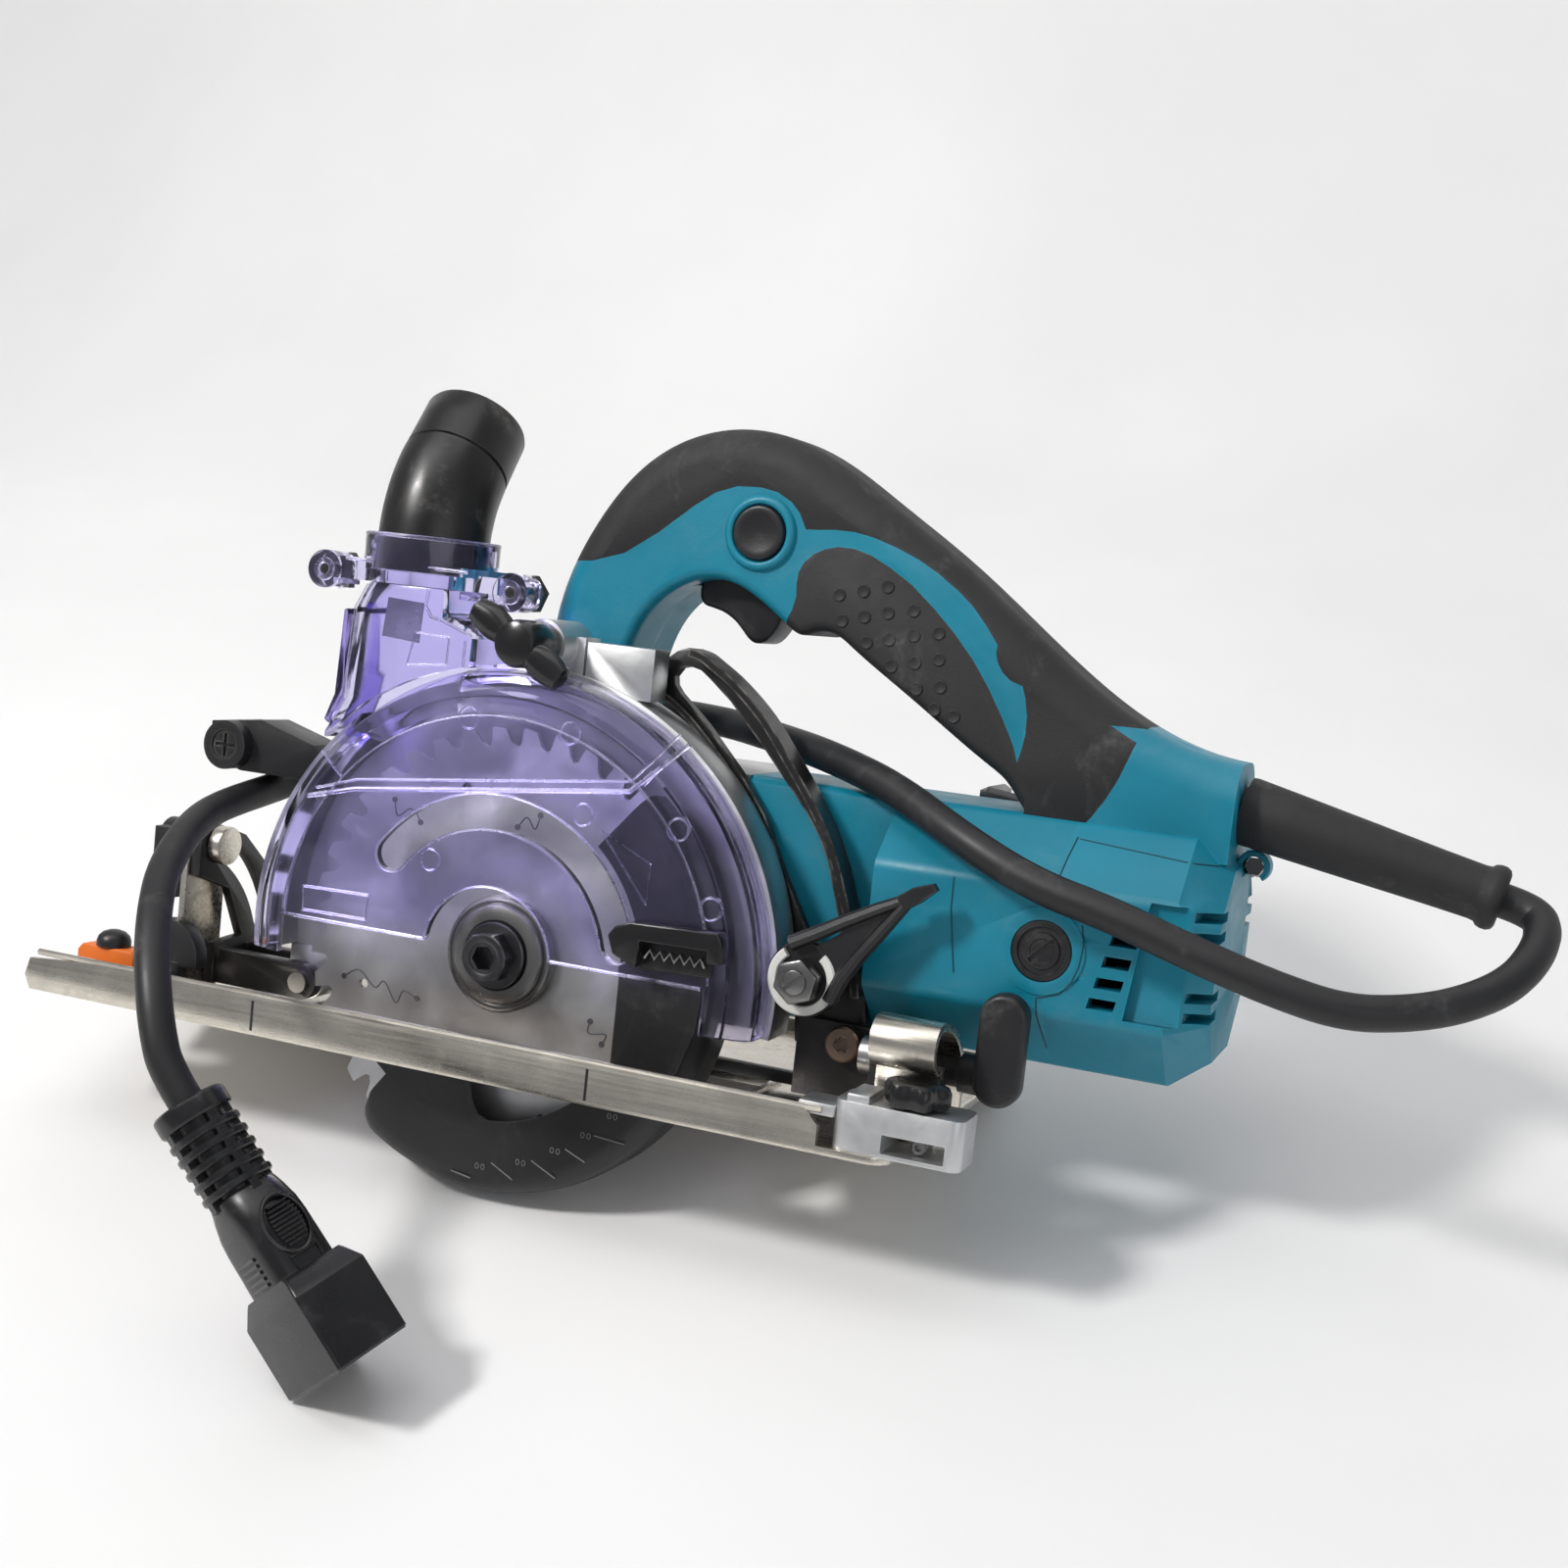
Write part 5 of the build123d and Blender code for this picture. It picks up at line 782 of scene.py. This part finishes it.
RUST = metal("rusty_steel", (0.30, 0.22, 0.17), 0.45, grime=0.6, bumps=0.2)
pin = boolean(Geo().lathe([(0.02, 9.3), (4.2, 9.3), (4.8, 9.8), (4.8, 12.6), (0.02, 12.6)], (96, 20), 40).mesh("pin"), [Geo().prism(hexa(2.4, (96, 20), 15), 0, 11.4).mesh("cut")])
extra("pin_head", pin, "tilt_frame", RUST, angle=25)

# seams of the motor housing, draped on its skin
from mathutils.bvhtree import BVHTree
bm = bmesh.new()
for n_ in ("motor_housing", "rear_cover"):
    q_ = clean(n_)
    bm.from_mesh(q_)
skin = BVHTree.FromBMesh(bm)


def drape(pts, n=10):
    out = []
    for a, b in zip(pts, pts[1:]):
        for i in range(n):
            x, z = a[0] + (b[0] - a[0]) * i / n, a[1] + (b[1] - a[1]) * i / n
            h = skin.ray_cast(Vector((x, -60.0, z)), Vector((0, 1, 0)))[0]
            if h is not None and h.y < 40:
                out.append((x, h.y + 0.02, z))
    return out


SEAMS = ([(149.8, 82.1), (149.0, 77.1), (148.2, 68.4), (149.6, 66.4)], [(156.4, 62.0), (157.4, 57.0), (156.9, 51.7), (155.5, 47.4), (152.7, 43.9), (149.1, 42.6), (147.0, 42.0), (148.0, 33.6), (148.9, 27.0)],
         [(150.4, 81.8), (169.0, 80.6), (187.0, 79.4)], [(122.4, 69.0), (122.6, 60.9), (125.4, 43.0)])
SEAM = plastic("seam_teal", srgb(4, 66, 82), 0.6, 0.0, 1400.0, 0.0, wear=0.0)
seam = Geo()
for pts in SEAMS:
    d_ = drape(pts)
    if len(d_) > 3:
        seam.tube(d_, 0.22, 6)
bm.free()
extra("motor_seams", seam, "saw_body", SEAM)

# ------------------------------------------------------------------ base and its fittings
upgrade("base_plate", 0.45)
for n_, b_ in (("front_quadrant", 0.4), ("rear_quadrant", 0.4), ("front_bevel_lever", 0.8), ("fence_holder", 0.6), ("front_fence_screw", 0.8), ("sight_guide", 0.4)):
    upgrade(n_, b_)
kn = clean("rear_bevel_knob", 1.6)
for v in kn.vertices:
    if v.co.x < 141.0 and v.co.x > 133.0:
        v.co.x += 0.7
swap("rear_bevel_knob", kn)
edge = Geo()
for pts in ([(-64, -11.6), (-30, -11.6), (20, -11.8), (72, -11.6)],):
    edge.tube([(x, y, 2.6) for x, y in pts], 1.1, 10)
edge.tube([(-141.0 + 4, -24.6, 11.0), (-60, -24.6, 11.0), (40, -24.6, 11.0), (104, -24.6, 11.0)], 0.9, 10)
extra("base_edges", edge, "base", NICKEL)
marks = Geo()
for x in (-62.6, 40.2):
    marks.box(x - 0.35, x + 0.35, -25.62, -25.3, 1.2, 9.6)
extra("base_marks", marks, "base", BLACKOX)
extra("slot_screw", Geo().lathe([(0.02, -20.6), (0.9, -20.6), (0.9, -21.4), (1.6, -21.4), (1.9, -21.1), (1.9, -19.0), (0.02, -19.0)], (128.5, 5.5), 32), "base", DARKSTEEL)
fe = Geo().box(97.5, 107.2, -24.6, -14.0, 9.4, 12.6)
fe.box(110.0, 116.0, -24.9, -12.5, 14.2, 16.6)
extra("holder_ear", fe, "base", ALU, 0.6)
ks = Geo()
lob = []
for i in range(96):
    a = 2 * pi * i / 96
    lob.append((126 + (7.8 + 0.8 * cos(6 * a)) * cos(a), -18.5 + (7.8 + 0.8 * cos(6 * a)) * sin(a)))
scale_ = lambda f: [(126 + (x - 126) * f, -18.5 + (y + 18.5) * f) for x, y in lob]
ks.loft([[(x, y, z) for x, y in scale_(f)] for f, z in ((0.45, 14.9), (0.92, 15.3), (1.0, 16.4), (1.0, 19.2), (0.92, 20.6), (0.75, 21.2), (0.5, 21.0), (0.3, 20.7))])
ks.lathe([(0.02, 8.2), (2.4, 8.2), (2.4, 16), (0.02, 16)], (126, -18.5), 24, axis="z")
swap("fence_screw", ks.mesh("fence_screw"), GLOSS, 40.0)
swap("sight_screw", Geo().lathe([(0.02, 18.0), (1.6, 17.9), (3.2, 17.3), (4.4, 16.2), (4.9, 14.8), (4.9, 13.3), (2.0, 13.3), (2.0, 1.0), (0.02, 1.0)], (-123, -10), 40, axis="z").mesh("sight_screw"), BLACK, 35.0)
sb = boolean(Geo().prism([(-132.5, 4.5), (-132.5, 11.4), (-131.0, 13.2), (-113.6, 13.2), (-112.6, 12.2), (-112.6, 4.5)], -14.0, -6.0).mesh("sight_block", 0.4), [Geo().lathe([(0.02, 0.0), (2.1, 0.0), (2.1, 30.0), (0.02, 30.0)], (-123, -10), 24, axis="z").mesh("cut")])
extra("sight_block", sb, "base", ORANGE, angle=30)

# ------------------------------------------------------------------ the cord's own curve
cu = bpy.data.curves.new("mains_cord", "CURVE")
cu.dimensions = "3D"
sp = cu.splines.new("NURBS")
sp.points.add(len(ROUTE) - 1)
for q, c in zip(sp.points, ROUTE):
    q.co = (*c, 1.0)
sp.order_u = 3
sp.use_endpoint_u = True
sp.resolution_u = 8
cu.bevel_depth, cu.bevel_resolution, cu.use_fill_caps = 0.0044, 6, True
cu.materials.append(CORDM)
cord = bpy.data.objects.new("mains_cord", cu)
SC.collection.objects.link(cord)
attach(cord, "saw_body")
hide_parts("cord")

# ------------------------------------------------------------------ cloth backdrop, light
prof = [(-2.2 + 0.1 * i, 0.0) for i in range(27)] + [(0.45 + 0.42 * sin(radians(6 * i)), 0.42 - 0.42 * cos(radians(6 * i))) for i in range(1, 15)] + [(0.872, 0.45 + 0.12 * i) for i in range(24)]
COLS = 60
vs, fs = [], []
for i, (y, z) in enumerate(prof):
    for k in range(COLS + 1):
        x = -3.0 + 6.0 * k / COLS
        up = min(1.0, max(0.0, (y - 0.40) / 0.2))
        sway = up * (0.012 * sin(5.1 * x + 1.3 * z) + 0.008 * sin(11.0 * x - 3.0 * z + 0.7))
        crease = 0.010 * up * max(0.0, 1.0 - abs(x + 0.10 + 0.05 * z) / 0.05)
        vs.append((x, y + sway + crease, z))
for i in range(len(prof) - 1):
    for k in range(COLS):
        a = i * (COLS + 1) + k
        fs.append((a, a + 1, a + COLS + 2, a + COLS + 1))
me = bpy.data.meshes.new("backdrop")
me.from_pydata(vs, [], fs)
for p in me.polygons:
    p.use_smooth = True
bench = bpy.data.objects.new("backdrop", me)
SC.collection.objects.link(bench)
fm = Mat("backdrop_cloth", Roughness=0.9)
fm.color(fm.mix(fm.range(fm.noise(4.0, 4.0), 0.3, 0.7, 0.0, 1.0), (0.80, 0.795, 0.79, 1), (0.86, 0.855, 0.85, 1)))
weave = fm.noise(1.0, 3.0, 0.6, vec=fm.coord((1500.0, 260.0, 260.0)))
fm.normal(fm.bump(weave, 0.05, 0.0004))
me.materials.append(fm.m)


def area(name, loc, look, size, power, col=(1, 1, 1)):
    li = bpy.data.lights.new(name, "AREA")
    li.shape, li.size, li.size_y, li.energy, li.color = "RECTANGLE", size[0], size[1], power, col
    o = bpy.data.objects.new(name, li)
    SC.collection.objects.link(o)
    o.location = loc
    o.rotation_euler = (Vector(look) - Vector(loc)).to_track_quat("-Z", "Y").to_euler()
    return o


area("key", (-0.72, -0.62, 1.25), (0.0, 0.0, 0.08), (0.22, 0.22), 14.4, (1.0, 0.985, 0.965))
area("fill", (1.3, -1.1, 0.9), (0.0, 0.0, 0.1), (1.4, 1.0), 4.1, (0.97, 0.985, 1.0))
area("top", (0.1, 0.0, 1.7), (0.0, 0.1, 0.0), (1.4, 1.0), 6.3)
area("wall", (-0.6, -0.1, 1.5), (-0.3, 0.9, 0.8), (0.9, 0.6), 3.0, (0.96, 0.98, 1.0))
w = bpy.data.worlds.new("world")
SC.world = w
w.use_nodes = True
bg = w.node_tree.nodes["Background"]
bg.inputs[0].default_value = (0.93, 0.95, 1.0, 1)
bg.inputs[1].default_value = 0.30
SC.view_settings.view_transform = "Standard"
